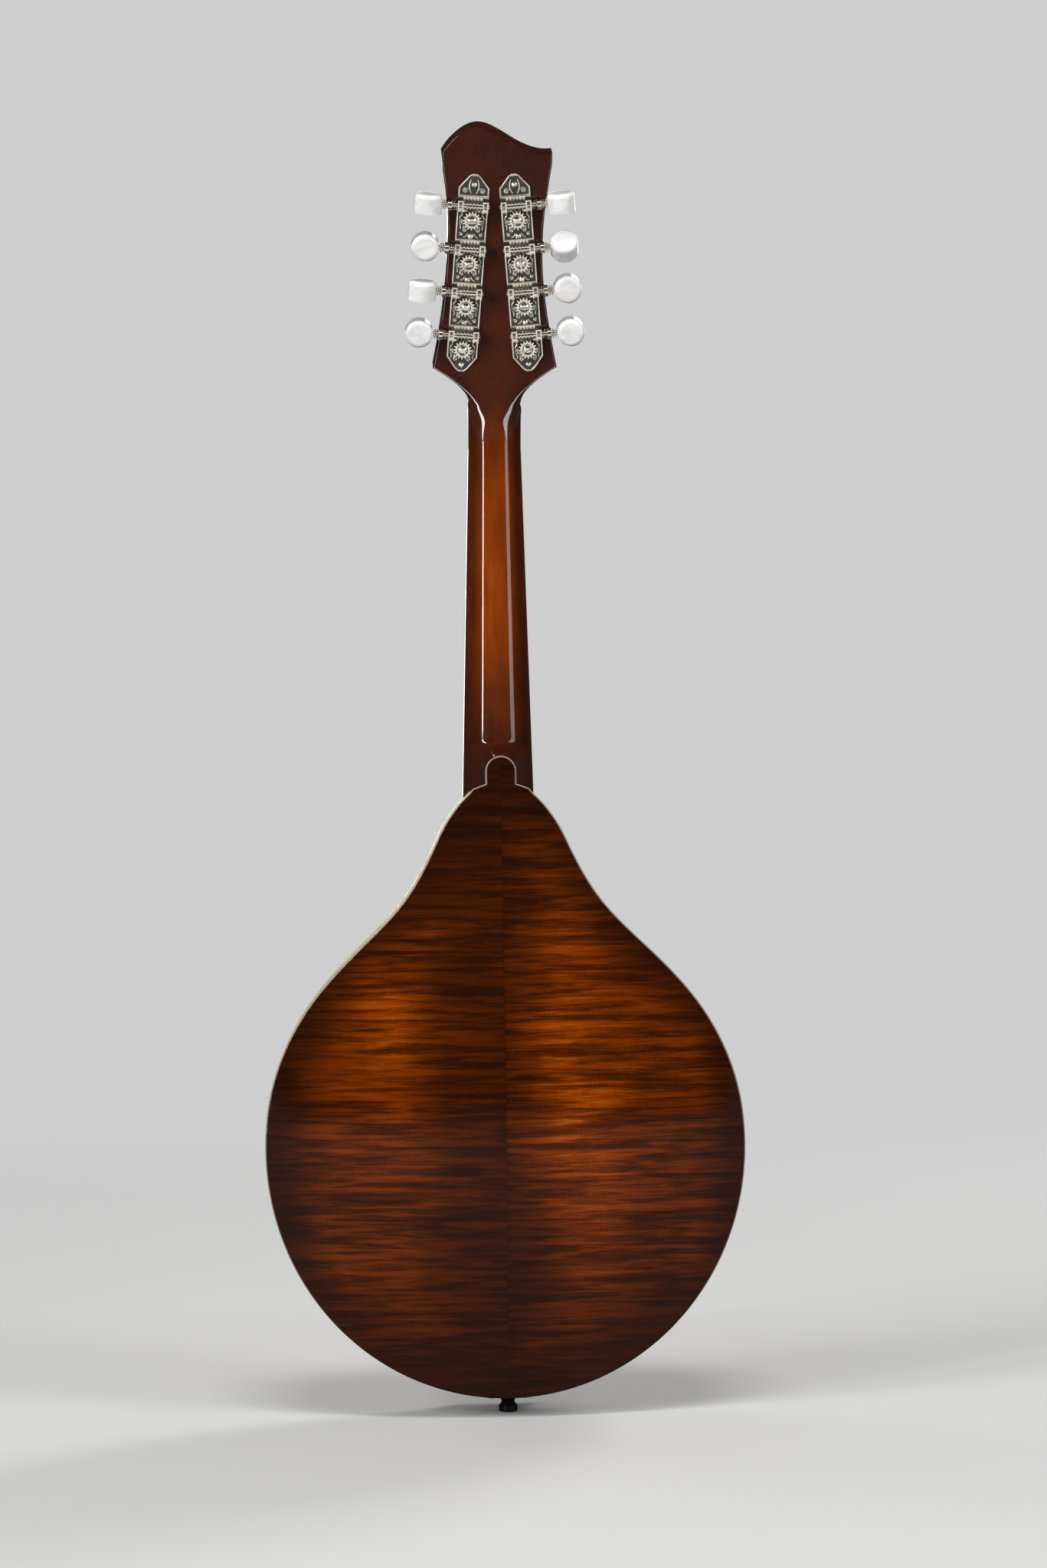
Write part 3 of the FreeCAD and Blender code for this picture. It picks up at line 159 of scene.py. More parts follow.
def sampled(points, count):
    """Even samples along a smooth curve through points."""
    p = np.asarray(points, float)
    steps = np.linalg.norm(np.diff(p, axis=0), axis=1)
    p = p[np.concatenate([[True], steps > 1e-3])]
    at = np.concatenate([[0], np.cumsum(steps[steps > 1e-3])])
    tangent = np.gradient(p, at, axis=0, edge_order=2)
    s = np.linspace(0, at[-1], count)
    k = np.clip(np.searchsorted(at, s, side="right") - 1, 0, len(p) - 2)
    h = (at[k + 1] - at[k])[:, None]
    t = ((s - at[k])[:, None]) / h
    a, b = 2 * t**3 - 3 * t**2 + 1, -2 * t**3 + 3 * t**2
    c, d = t**3 - 2 * t**2 + t, t**3 - t**2
    return a * p[k] + b * p[k + 1] + h * (c * tangent[k] + d * tangent[k + 1])


def tube(points, radius, sides=10):
    """Points and faces of a closed round wire along a path, with the length reached at each point."""
    p = np.asarray(points, float)
    t = np.gradient(p, axis=0)
    t /= np.linalg.norm(t, axis=1)[:, None]
    u = np.cross(t[0], [0.31, 0.17, 0.93])
    u /= np.linalg.norm(u)
    radius = np.broadcast_to(radius, len(p))
    verts, along, reach = [], [], 0.0
    for i in range(len(p)):
        u = u - t[i] * (u @ t[i])
        u /= np.linalg.norm(u)
        w = np.cross(t[i], u)
        if i:
            reach += np.linalg.norm(p[i] - p[i - 1])
        for k in range(sides):
            angle = 2 * math.pi * k / sides
            verts.append(p[i] + radius[i] * (math.cos(angle) * u + math.sin(angle) * w))
            along.append(reach)
    faces = grid_faces(len(p), sides, wrap=True)
    faces.append(list(range(sides))[::-1])
    faces.append([(len(p) - 1) * sides + k for k in range(sides)])
    return verts, faces, along


def tubes(name, paths, body, material, sides=10):
    """One piece made of several wires: each (points, radius)."""
    verts, faces, along = [], [], []
    for points, radius in paths:
        v, f, a = tube(points, radius, sides)
        faces += [[len(verts) + i for i in face] for face in f]
        verts += v
        along += a
    piece = new_object(name, verts, faces, body, material)
    float_attribute(piece, "along", along)
    return piece


def flat_loops(node, inverse, level, tolerance=0.02):
    """Closed loops round a node's flat face at y = level, longest first, as (x, z) in the inverted frame."""
    bm = bmesh.new()
    bm.from_mesh(NODES[node].data)
    bmesh.ops.remove_doubles(bm, verts=bm.verts, dist=1e-6)
    place = {v: transform(inverse, np.array(v.co) / MM) for v in bm.verts}
    inside = {v for v, p in place.items() if abs(p[1] - level) < tolerance}
    edges = {}
    for e in bm.edges:
        a, b = e.verts
        if [all(v in inside for v in f.verts) for f in e.link_faces].count(True) == 1:
            edges.setdefault(a, []).append(b)
            edges.setdefault(b, []).append(a)
    loops = []
    while edges:
        start = next(iter(edges))
        loop, here = [start], start
        while edges.get(here):
            there = edges[here].pop()
            edges[there].remove(here)
            loop.append(there)
            here = there
        for v in loop:
            if v in edges and not edges[v]:
                edges.pop(v)
        if len(loop) > 3:
            loops.append(np.array([[place[v][0], place[v][2]] for v in loop]))
    bm.free()
    return sorted(loops, key=lambda q: np.linalg.norm(np.diff(q, axis=0), axis=1).sum(), reverse=True)


# -------- node-tree helpers
class Shader:
    """A material's node tree, with short ways to add nodes to it."""

    def __init__(self, name):
        self.material = bpy.data.materials.new(name)
        self.material.use_nodes = True
        self.tree = self.material.node_tree
        self.surface = self.tree.nodes["Principled BSDF"]
        self.place = self.add("TexCoord").outputs["Object"]

    def add(self, kind, inputs=None, **settings):
        made = self.tree.nodes.new("ShaderNode" + kind)
        for key, value in settings.items():
            setattr(made, key, value)
        for key, value in (inputs or {}).items():
            self.put(made.inputs[key], value)
        return made

    def put(self, socket, value):
        if isinstance(value, bpy.types.NodeSocket):
            self.tree.links.new(value, socket)
        else:
            socket.default_value = value

    def set(self, **values):
        for key, value in values.items():
            self.put(self.surface.inputs[key.replace("_", " ")], value)
        return self

    def math(self, operation, *values):
        return self.add("Math", dict(enumerate(values)), operation=operation).outputs[0]

    def noise(self, scale, detail=3.0, rough=0.5, distort=0.0, source=None):
        """Noise with its own fineness along x, y and z, in cells a metre."""
        vector = self.add("VectorMath", {0: source or self.place, 1: scale}, operation="MULTIPLY").outputs[0]
        sizes = {"Vector": vector, "Scale": 1.0, "Detail": detail, "Roughness": rough, "Distortion": distort}
        return self.add("TexNoise", sizes).outputs["Fac"]

    def ramp(self, value, *stops, ease="LINEAR"):
        made = self.add("ValToRGB", {"Fac": value})
        made.color_ramp.interpolation = ease
        elements = made.color_ramp.elements
        while len(elements) < len(stops):
            elements.new(0.5)
        for element, (at, colour) in zip(elements, sorted(stops, key=lambda s: s[0])):
            element.position = at
            element.color = (*colour, 1) if isinstance(colour, tuple) else (colour, colour, colour, 1)
        return made.outputs["Color"]

    def mix(self, share, a, b, blend="MIX"):
        made = self.add("Mix", data_type="RGBA", blend_type=blend)
        self.put(made.inputs[0], share)
        for socket, colour in ((made.inputs[6], a), (made.inputs[7], b)):
            self.put(socket, colour if isinstance(colour, bpy.types.NodeSocket) else (*colour, 1))
        return made.outputs[2]

    def bump(self, height, depth, strength):
        return self.add("Bump", {"Height": height, "Distance": depth, "Strength": strength}).outputs["Normal"]

    def spread(self, value, low, high, to_low=0.0, to_high=1.0):
        sizes = {"Value": value, "From Min": low, "From Max": high, "To Min": to_low, "To Max": to_high}
        return self.add("MapRange", sizes, interpolation_type="SMOOTHSTEP").outputs["Result"]

    def attribute(self, name):
        return self.add("Attribute", attribute_name=name).outputs["Fac"]

    def axes(self):
        return self.add("SeparateXYZ", {0: self.place}).outputs


def varnish(shader, colour, rough=0.4):
    """Coloured wood under a clear high-gloss coat."""
    shader.set(Base_Color=colour, Roughness=rough, Specular_IOR_Level=0.0)
    shader.set(Coat_Weight=1.0, Coat_Roughness=0.035, Coat_IOR=1.5)
    ripple = shader.noise((45, 45, 30), detail=2.0)
    shader.set(Coat_Normal=shader.bump(ripple, 0.00006, 0.35))
    return shader.material


def srgb(r, g, b):
    """Linear colour from its 0-255 values."""
    return tuple(c / 255 / 12.92 if c <= 10 else ((c / 255 + 0.055) / 1.055) ** 2.4 for c in (r, g, b))


# -------- finishes
def make_back_maple():
    """Flamed maple, bookmatched, under a shaded amber-to-brown lacquer, with a pale painted highlight along
    the rim's edge.
    """
    s = Shader("back_maple_finish")
    x, _, z = s.axes()
    half = s.math("SIGN", x)
    shift = s.add("CombineXYZ", {0: 0.0, 1: 0.0, 2: s.math("MULTIPLY", half, 0.37)}).outputs[0]
    place = s.add("VectorMath", {0: s.place, 1: shift}, operation="ADD").outputs[0]
    flames = s.spread(s.noise((21, 21, 330), 5.0, 0.64, 0.4, place), 0.36, 0.64)
    fine = s.spread(s.noise((46, 46, 820), 3.0, 0.6, source=place), 0.3, 0.7)
    pores = s.spread(s.noise((1400, 1400, 160), 2.0, 0.5, source=place), 0.3, 0.7)
    patches = s.spread(s.noise((13, 13, 9), 3.0, 0.55, 0.6, place), 0.34, 0.66)
    wander = s.math("MULTIPLY_ADD", s.noise((11, 11, 40), 4.0, 0.6, source=place), 0.06, -0.03)
    across = s.math("MULTIPLY_ADD", s.math("ADD", x, wander), 1 / 0.254, 0.5)
    bands = s.ramp(across, (0.0, 0.12), (0.09, 0.62), (0.17, 0.5), (0.24, 0.5), (0.32, 0.84), (0.39, 0.86),
                   (0.45, 0.42), (0.51, 0.2), (0.6, 0.26), (0.68, 0.62), (0.76, 1.0), (0.84, 0.72),
                   (0.92, 0.3), (1.0, 0.1), ease="B_SPLINE")
    upwards = s.ramp(s.math("MULTIPLY", z, 1 / 0.35), (0.0, 0.12), (0.09, 0.3), (0.22, 0.78), (0.36, 1.0),
                     (0.62, 1.0), (0.76, 0.66), (0.88, 0.45), (1.0, 0.22), ease="B_SPLINE")
    rim = s.spread(s.attribute("inset"), 0.0, 24.0, 0.3, 1.0)
    centre = s.spread(s.math("ABSOLUTE", x), 0.0, 0.0016, 0.72, 1.0)
    glow = s.math("MULTIPLY", s.math("MULTIPLY", bands, upwards), s.math("MULTIPLY", rim, centre))
    glow = s.math("MULTIPLY", glow, s.math("MULTIPLY_ADD", patches, 0.45, 0.6))
    figure = s.math("MULTIPLY_ADD", flames, 0.74, s.math("MULTIPLY", fine, 0.2))
    figure = s.math("MULTIPLY_ADD", pores, 0.08, figure)
    lit, unlit = s.math("MULTIPLY_ADD", figure, 0.84, 0.2), s.math("MULTIPLY", figure, 0.14)
    tone = s.math("MULTIPLY_ADD", glow, lit, unlit)
    colour = s.ramp(tone, (0.0, srgb(28, 10, 5)), (0.14, srgb(46, 17, 4)), (0.32, srgb(74, 28, 2)),
                    (0.58, srgb(108, 42, 1)), (0.82, srgb(136, 57, 2)), (1.0, srgb(160, 76, 5)))
    # Painted highlight: a thin pale line along the rounded rim edge, fading out towards the tail, painted
    # into the colour in place of a reflection.
    painted_edge_highlight = s.math("MULTIPLY", s.spread(s.attribute("inset"), 0.3, 0.8, 1.0, 0.0), s.spread(z, 0.02, 0.12))
    colour = s.mix(s.math("MULTIPLY", painted_edge_highlight, 0.6), colour, srgb(206, 186, 166))
    return varnish(s, colour)


def make_rib_maple():
    """Flamed maple bent round the body, with its flames across the ribs."""
    s = Shader("rib_maple_finish")
    flames = s.spread(s.noise((170, 14, 170), 4.0, 0.6, 0.3), 0.36, 0.66)
    colour = s.mix(flames, srgb(38, 14, 6), srgb(84, 34, 6))
    return varnish(s, colour)


def make_neck_maple():
    """Maple shaded from amber along the shaft's middle to brown at its edges, heel and headstock."""
    s = Shader("neck_maple_finish")
    z = s.axes()[2]
    pores = s.spread(s.noise((420, 420, 26), 4.0, 0.6, 0.2), 0.3, 0.7)
    cloud = s.spread(s.noise((30, 30, 22), 3.0, 0.55), 0.3, 0.7)
    along = s.ramp(s.math("MULTIPLY", z, 1 / 0.7), (0.46, 0.04), (0.5, 0.1), (0.54, 0.4), (0.6, 0.95),
                   (0.68, 0.9), (0.735, 0.6), (0.78, 0.34), (0.86, 0.2), (0.92, 0.1), (1.0, 0.03),
                   ease="EASE")
    middle = s.spread(s.math("ABSOLUTE", s.attribute("across")), 0.25, 0.85, 1.0, 0.3)
    glow = s.math("MULTIPLY", along, middle)
    grain = s.math("MULTIPLY_ADD", pores, 0.3, s.math("MULTIPLY", cloud, 0.7))
    lit, unlit = s.math("MULTIPLY_ADD", grain, 0.45, 0.55), s.math("MULTIPLY", grain, 0.12)
    tone = s.math("MULTIPLY_ADD", glow, lit, unlit)
    colour = s.ramp(tone, (0.0, srgb(40, 17, 10)), (0.25, srgb(64, 25, 8)), (0.5, srgb(92, 36, 5)),
                    (0.8, srgb(118, 49, 7)), (1.0, srgb(140, 62, 12)))
    return varnish(s, colour, rough=0.42)


def make_spruce():
    """Straight-grained spruce with a sunburst that follows the body's outline."""
    s = Shader("top_spruce_finish")
    x, _, z = s.axes()
    grain = s.spread(s.noise((1100, 60, 5), 3.0, 0.55, 0.15), 0.35, 0.65)
    silk = s.spread(s.noise((50, 50, 240), 2.0, 0.5, 0.2), 0.3, 0.7)
    up = s.math("SUBTRACT", z, 0.1415)
    below = s.math("POWER", s.math("MULTIPLY", up, 1 / 0.133), 2.0)
    above = s.math("POWER", s.math("MAXIMUM", s.math("MULTIPLY", up, 1 / 0.19), 0.0), 3.0)
    upper = s.math("GREATER_THAN", up, 0.0)
    width = s.ramp(s.math("MULTIPLY", z, 1 / 0.34), (0.0, 0.127), (0.42, 0.127), (0.52, 0.1215),
                   (0.63, 0.103), (0.72, 0.078), (0.805, 0.05), (0.88, 0.036), (0.94, 0.027),
                   (1.0, 0.012), ease="B_SPLINE")
    side = s.math("POWER", s.math("DIVIDE", x, s.math("MAXIMUM", width, 0.01)), 2.0)
    end = s.add("Mix", {0: upper, 2: below, 3: above}, data_type="FLOAT").outputs[0]
    reach = s.math("SQRT", s.math("ADD", side, end))
    burst = s.ramp(reach, (0.0, srgb(206, 140, 62)), (0.4, srgb(190, 116, 40)), (0.66, srgb(132, 58, 14)),
                   (0.86, srgb(58, 20, 8)), (1.0, srgb(24, 10, 6)), ease="EASE")
    lines = s.mix(s.math("MULTIPLY", grain, 0.5), burst, (0.62, 0.45, 0.3), "MULTIPLY")
    colour = s.mix(s.math("MULTIPLY", silk, 0.12), lines, (0.9, 0.75, 0.5), "OVERLAY")
    return varnish(s, colour)


def make_plain_wood(name, dark, light, rough):
    s = Shader(name)
    pores = s.spread(s.noise((380, 380, 22), 5.0, 0.62, 0.25), 0.25, 0.75)
    cloud = s.spread(s.noise((28, 28, 12), 3.0), 0.3, 0.7)
    colour = s.mix(s.math("MULTIPLY_ADD", pores, 0.65, s.math("MULTIPLY", cloud, 0.35)), dark, light)
    s.set(Base_Color=colour, Roughness=s.spread(pores, 0.0, 1.0, rough + 0.1, rough - 0.05))
    s.set(Normal=s.bump(pores, 0.00005, 0.4))
    return s.material


def make_dense(name, dark, light, scale, rough, coat):
    """A dense material with a faint cloudy variation."""
    s = Shader(name)
    cloud = s.spread(s.noise(scale, 4.0, 0.6, 0.4), 0.3, 0.7)
    s.set(Base_Color=s.mix(cloud, dark, light))
    s.set(Roughness=s.spread(cloud, 0.0, 1.0, rough * 0.85, rough * 1.15))
    s.set(Coat_Weight=coat, Coat_Roughness=0.04, Normal=s.bump(cloud, 0.0002, 0.15))
    return s.material


def make_metal(name, dark, light, rough):
    """Plated or polished metal with a little tarnish and fine scratches."""
    s = Shader(name)
    patches = s.spread(s.noise((160, 160, 160), 4.0, 0.6, 0.3), 0.42, 0.75)
    scratches = s.noise((3000, 3000, 260), 2.0, 0.5)
    s.set(Base_Color=s.mix(s.math("MULTIPLY", patches, 0.35), light, dark), Metallic=1.0)
    s.set(Roughness=s.spread(patches, 0.0, 1.0, rough, rough + 0.14), Normal=s.bump(scratches, 0.00001, 0.25))
    return s.material


def make_pearloid():
    """White pearloid: soft folded streaks that catch the light differently."""
    s = Shader("pearloid_finish")
    folds = s.noise((60, 190, 190), 5.0, 0.55, 1.6)
    streak = s.spread(folds, 0.35, 0.62)
    colour = s.mix(streak, srgb(228, 227, 225), srgb(246, 246, 244))
    s.set(Base_Color=colour, Roughness=s.spread(streak, 0.0, 1.0, 0.3, 0.16))
    s.set(Coat_Weight=0.7, Coat_Roughness=0.03)
    s.set(Subsurface_Weight=0.25, Subsurface_Radius=(0.004, 0.004, 0.004), Subsurface_Scale=0.5)
    s.set(Normal=s.bump(folds, 0.0001, 0.12))
    return s.material


def make_wound(name, dark, light, pitch):
    """A wire wound with finer wire, seen as close rings along its length."""
    s = Shader(name)
    turn = s.math("SINE", s.math("MULTIPLY", s.attribute("along"), 2 * math.pi / pitch))
    rings = s.spread(turn, -1.0, 1.0)
    s.set(Base_Color=s.mix(rings, dark, light), Metallic=1.0, Roughness=0.26)
    s.set(Normal=s.bump(rings, 0.00004, 0.5))
    return s.material


WOODS = {  # dark and light colour, roughness
    "lining_wood": ((176, 138, 92), (214, 180, 132), 0.7),
    "block_wood": ((150, 100, 62), (190, 140, 94), 0.7),
    "board_wood": ((22, 13, 10), (52, 32, 24), 0.42),
    "bridge_wood": ((14, 10, 9), (34, 24, 20), 0.36),
}
DENSE = {  # dark and light colour, fineness of the clouds along x, y and z, roughness, clear coat
    "black_veneer": ((8, 7, 7), (16, 14, 13), (90, 90, 14), 0.25, 1.0),
    "ivory_binding": ((214, 196, 142), (232, 218, 170), (60, 60, 60), 0.3, 0.8),
    "bone": ((222, 212, 186), (240, 234, 214), (220, 220, 90), 0.32, 0.0),
    "pearl": ((198, 208, 206), (246, 238, 232), (700, 300, 500), 0.16, 0.6),
    "black_plastic": ((9, 9, 9), (18, 17, 16), (140, 140, 140), 0.22, 0.0),
    "niello": ((14, 13, 12), (62, 58, 52), (1500, 1500, 1500), 0.36, 0.0),
}
PLATED = {  # dark and light colour, roughness
    "nickel": ((150, 138, 116), (224, 218, 206), 0.14),
    "nickel_silver": ((150, 140, 112), (212, 204, 180), 0.2),
    "nickel_engraving": ((150, 138, 116), (224, 218, 206), 0.34),
    "rod_steel": ((84, 82, 80), (150, 150, 150), 0.32),
    "brass": ((132, 104, 60), (214, 186, 124), 0.2),
    "plain_string": ((130, 130, 130), (212, 212, 210), 0.16),
}
FINISH = {
    "back_maple": make_back_maple(),
    "rib_maple": make_rib_maple(),
    "neck_maple": make_neck_maple(),
    "top_spruce": make_spruce(),
    "pearloid": make_pearloid(),
    "bronze_string": make_wound("bronze_string_finish", srgb(120, 76, 44), srgb(226, 176, 122), 0.32),
}
for make, rows in ((make_plain_wood, WOODS), (make_dense, DENSE), (make_metal, PLATED)):
    for name, (dark, light, *rest) in rows.items():
        FINISH[name] = make(name + "_finish", srgb(*dark), srgb(*light), *rest)

for name, node in NODES.items():
    cad_slot = node.data.materials[0].name
    node.data.materials[0] = FINISH["rib_maple" if name == "ribs" else cad_slot]


# -------- carved back
HALF, WIDE = 127.0, 133.0  # half the body's width, and how far above the tail it is widest
ARCH_POWER, ARCH_REACH, ARCH_FADE = 1.6, 200.0, 1.3
TONGUE_HALF, TONGUE_TOP, SHOULDER_TOP = 8.2, 339.8, 325.0
RIB_EDGE, BACK_FACE, BACK_RISE = 19.0, 23.0, 12.0
TAIL = np.array(Matrix.Translation((0, 0, -DROP)))
RIM_COUNT, SIDE_COUNT, TIP_COUNT = 420, 9, 25
SHOULDER = RIM_COUNT - 1  # the point of the rim where the tongue leaves the shoulder


def trace_half_rim():
    """Half of the back's outline from the tail to the tongue's tip, as (x, height above the tail)."""
    outline = flat_loops("body_binding", TAIL, -RIB_EDGE)[0]
    half = outline[outline[:, 0] > 0.5]
    half = np.vstack([[0, 0], half[np.argsort(half[:, 1])]])
    steps = np.linalg.norm(np.diff(half, axis=0), axis=1)
    half = half[np.concatenate([[True], steps > 0.4])]
    half[-1] = (TONGUE_HALF, SHOULDER_TOP)
    spring = TONGUE_TOP - TONGUE_HALF
    side = np.linspace(SHOULDER_TOP, spring, SIDE_COUNT + 1)[1:]
    lean = np.linspace(0, math.pi / 2, TIP_COUNT + 1)[1:]
    tip = np.column_stack([TONGUE_HALF * np.cos(lean), spring + TONGUE_HALF * np.sin(lean)])
    sides = np.column_stack([np.full(SIDE_COUNT, TONGUE_HALF), side])
    return np.vstack([sampled(half, RIM_COUNT), sides, tip])


half_rim = trace_half_rim()


def half_width(z):
    """Half the body's width at heights above the tail."""
    low = HALF * np.sqrt(np.clip(1 - ((z - WIDE) / WIDE) ** 2, 0, 1))
    body = half_rim[: SHOULDER + 1]
    return np.where(z <= WIDE, low, np.interp(z, body[:, 1], body[:, 0], right=TONGUE_HALF))


def arch(x, z):
    """Share of the carving's full rise at each point of a plate."""
    low = np.clip(1 - (x / HALF) ** 2 - ((z - WIDE) / WIDE) ** 2, 0, 1) ** ARCH_POWER
    across = np.clip(np.abs(x) / np.maximum(half_width(z), 1e-6), 0, 1)
    along = np.clip(1 - ((z - WIDE) / ARCH_REACH) ** 2, 0, 1)
    return np.where(z < WIDE, low, (1 - across**2) ** ARCH_POWER * along**ARCH_FADE)


def rim_normals(rim):
    """Outward normals along half of the rim, with a mitre where the tongue leaves the shoulder."""
    def normal(t):
        t = t / np.linalg.norm(t, axis=-1, keepdims=True)
        return np.stack([t[..., 1], -t[..., 0]], -1)

    n = normal(np.gradient(rim, axis=0))
    before, after = normal(np.diff(rim[SHOULDER - 1 : SHOULDER + 2], axis=0))
    n[SHOULDER] = (before + after) / (1 + before @ after)
    n[0] = (0, -1)
    n[-1] = (0, 1)
    return n


ROUND_OVER, LAND = 1.1, 0.9  # the rim's outer rounding and the flat strip inside it


def make_back():
    """The back plate: for each half, rings of points from the inner seam round the rim to the outer seam."""
    normals = rim_normals(half_rim)
    count = len(half_rim)
    step = np.concatenate([[0], np.cumsum(np.linalg.norm(np.diff(half_rim, axis=0), axis=1))])
    # Section through the rim, as (distance in from the outline, level).
    turn = np.linspace(0, math.pi / 2, 8)
    profile = [(ROUND_OVER + LAND, RIB_EDGE), (0.35, RIB_EDGE), (0.1, RIB_EDGE + 0.1), (0, RIB_EDGE + 0.4)]
    profile += [(0, RIB_EDGE + 1.2)]
    profile += [(ROUND_OVER * (1 - math.cos(a)), BACK_FACE - ROUND_OVER * (1 - math.sin(a))) for a in turn]
    profile += [(ROUND_OVER + LAND / 2, BACK_FACE), (ROUND_OVER + LAND, BACK_FACE)]
    shares = np.linspace(0, 1, 90)[1:] ** 1.15
    rings, heights, depths = [], [], []
    inner = half_rim - normals * profile[0][0]
    inner[:, 0] = np.maximum(inner[:, 0], 0)
    low, high = inner[0, 1], inner[-1, 1]
    seam = np.column_stack([np.zeros(count), low + (high - low) * step / step[-1]])
    outline = half_rim[::2]

    def add_ring(flat, level, depth=None):
        """One ring of points at a level over the arch, with how far it lies in from the rim."""
        if depth is None:
            gap = np.linalg.norm(flat[:, None, :] - outline[None, :, :], axis=2).min(axis=1)
            depth = np.maximum(gap, profile[0][0])
        rings.append(flat)
        heights.append(level + BACK_RISE * arch(flat[:, 0], flat[:, 1]))
        depths.append(np.broadcast_to(depth, count))

    for share in shares[::-1]:
        add_ring(inner + (seam - inner) * share, RIB_EDGE)
    for distance, level in profile:
        flat = half_rim - normals * distance
        flat[:, 0] = np.maximum(flat[:, 0], 0)
        add_ring(flat, level, distance)
    for share in shares:
        add_ring(inner + (seam - inner) * share, BACK_FACE)
    verts, faces, edge = [], [], []
    for side in (1, -1):
        start = len(verts)
        for flat, level, depth in zip(rings, heights, depths):
            verts += list(np.column_stack([side * flat[:, 0], level, flat[:, 1] + DROP]))
            edge += list(depth)
        faces += grid_faces(len(rings), count, start, flip=side > 0)
    piece = new_object("carved_back", verts, faces, "instrument", FINISH["back_maple"])
    float_attribute(piece, "inset", edge)
    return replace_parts(weld(piece, 4e-6), "back_plate")


make_back()


# -------- carved neck and headstock
FULLNESS = 2.25
NECK_DEPTHS = np.array([(-196, 17.6), (-120, 16.6), (-60, 15.4), (0, 14.2), (16, 13.8), (40, 14.0)], float)
# Level, half width, height of the lower edge above the tail, and length of its rounding.
HEEL_STATIONS = np.array([
    (-27.0, 17.0, 349.4, 6.0), (-18.0, 15.4, 347.6, 7.4), (-11.0, 13.4, 345.8, 8.6), (-5.0, 11.6, 344.0, 9.0),
    (2.0, 10.1, 342.2, 8.8), (10.0, 9.0, 340.8, 8.4), (19.0, 8.15, 339.75, 8.1), (24.0, 8.1, 339.7, 8.1),
])
heel_table = sampled(HEEL_STATIONS, 200)
COLUMNS = 81
spread_angle = np.linspace(0, math.pi, COLUMNS)
ACROSS = -np.sign(np.cos(spread_angle)) * np.abs(np.cos(spread_angle)) ** (2 / FULLNESS)
RAISED = np.abs(np.sin(spread_angle)) ** (2 / FULLNESS)
WALL, HEEL_FULLNESS, HEEL_BLEND, HEEL_END = 1.5, 1.8, 3.6, 21.0
BEND_LOW, BEND_HIGH = -14.0, 26.0  # where the front plane turns from the neck's to the headstock's
FLARE_LOW, FLARE_HIGH = 7.0, 36.0  # where the rounded back of the shaft becomes the headstock's flat one
WING_LOW, WING_TOP, CROWN_LOW, NEAR = 19.5, 43.5, 157.5, 0.1  # heights on the headstock, and a margin


def board_half(z):
    return (28.3 - 0.0543 * z) / 2 - 0.1


def depth_at(z):
    return np.interp(z, NECK_DEPTHS[:, 0], NECK_DEPTHS[:, 1])


def step_up(value, low, high):
    t = np.clip((np.asarray(value, float) - low) / (high - low), 0, 1)
    return t * t * (3 - 2 * t)


NECK_BACK = np.array(NECK.inverted())


def neck_field(q):
    """Below zero inside the neck's shaft or heel, for points (..., 3) in the neck frame."""
    x, y, z = q[..., 0], q[..., 1], q[..., 2]
    p = transform(NECK, q)
    rise = np.maximum(y - BOARD_THICK - WALL, 0)
    aside, raised = np.abs(x) / board_half(z), rise / (depth_at(z) - WALL)
    r = np.maximum((aside**FULLNESS + raised**FULLNESS) ** (1 / FULLNESS), 1e-6)
    shaft = np.hypot(x, rise) * (1 - 1 / r)
    level, height = p[..., 1], p[..., 2] - DROP
    half, top, nose = (np.interp(level, heel_table[:, 0], heel_table[:, k]) for k in (1, 2, 3))
    over = np.maximum(height - (top - nose), 0) / nose
    power = HEEL_FULLNESS
    heel = (((np.abs(x) / half) ** power + over**power) ** (1 / power) - 1) * np.minimum(half, nose)
    soft = HEEL_BLEND * np.clip((y - 11) / 12, 0.04, 1)
    near = np.maximum(soft - np.abs(shaft - heel), 0) / soft
    joined = np.minimum(shaft, heel) - near * near * soft / 4
    return np.maximum(joined, level - HEEL_END)


def neck_row(z):
    """Back surface of the neck across one station, found along rays from its core."""
    z = np.atleast_1d(z)
    half, depth = board_half(z)[:, None], (depth_at(z) - WALL)[:, None]
    aim = np.stack([ACROSS[None, :] * half, RAISED[None, :] * depth], -1)
    aim /= np.linalg.norm(aim, axis=-1)[..., None]
    reach = np.linspace(0.5, 62, 420)
    rays = np.zeros((len(z), COLUMNS, len(reach), 3))
    rays[..., 0] = aim[:, :, None, 0] * reach
    rays[..., 1] = BOARD_THICK + WALL + aim[:, :, None, 1] * reach
    rays[..., 2] = z[:, None, None]
    field = neck_field(rays)
    outside = field > 0
    first = np.argmax(outside, axis=2)
    rows, columns = np.indices(first.shape)
    a, b = field[rows, columns, first - 1], field[rows, columns, first]
    at = reach[first - 1] + (reach[first] - reach[first - 1]) * (-a) / np.maximum(b - a, 1e-9)
    made = np.zeros((len(z), COLUMNS, 3))
    made[..., 0] = aim[..., 0] * at
    made[..., 1] = BOARD_THICK + WALL + aim[..., 1] * at
    made[..., 2] = z[:, None]
    return made


def near_end(curve, across):
    """Places along a curve's x range for shares from -1 to 1."""
    low, high = curve[0, 0], curve[-1, 0]
    return np.where(across > 0, across * high, -across * low)


def headstock_edge(z, points):
    """Half the headstock's width at heights, from one side's outline, with the wing's corner kept."""
    wing, upper = points[points[:, 1] < WING_TOP + NEAR], points[points[:, 1] > WING_TOP - NEAR]
    wing = wing[wing[:, 1] > WING_LOW]
    foot = [[wing[0][0], 6.0], [wing[0][0], 13.0]]
    table = np.vstack([sampled(np.vstack([foot, wing]), 200), sampled(upper, 200)[1:]])
    return np.interp(z, table[:, 1], table[:, 0])


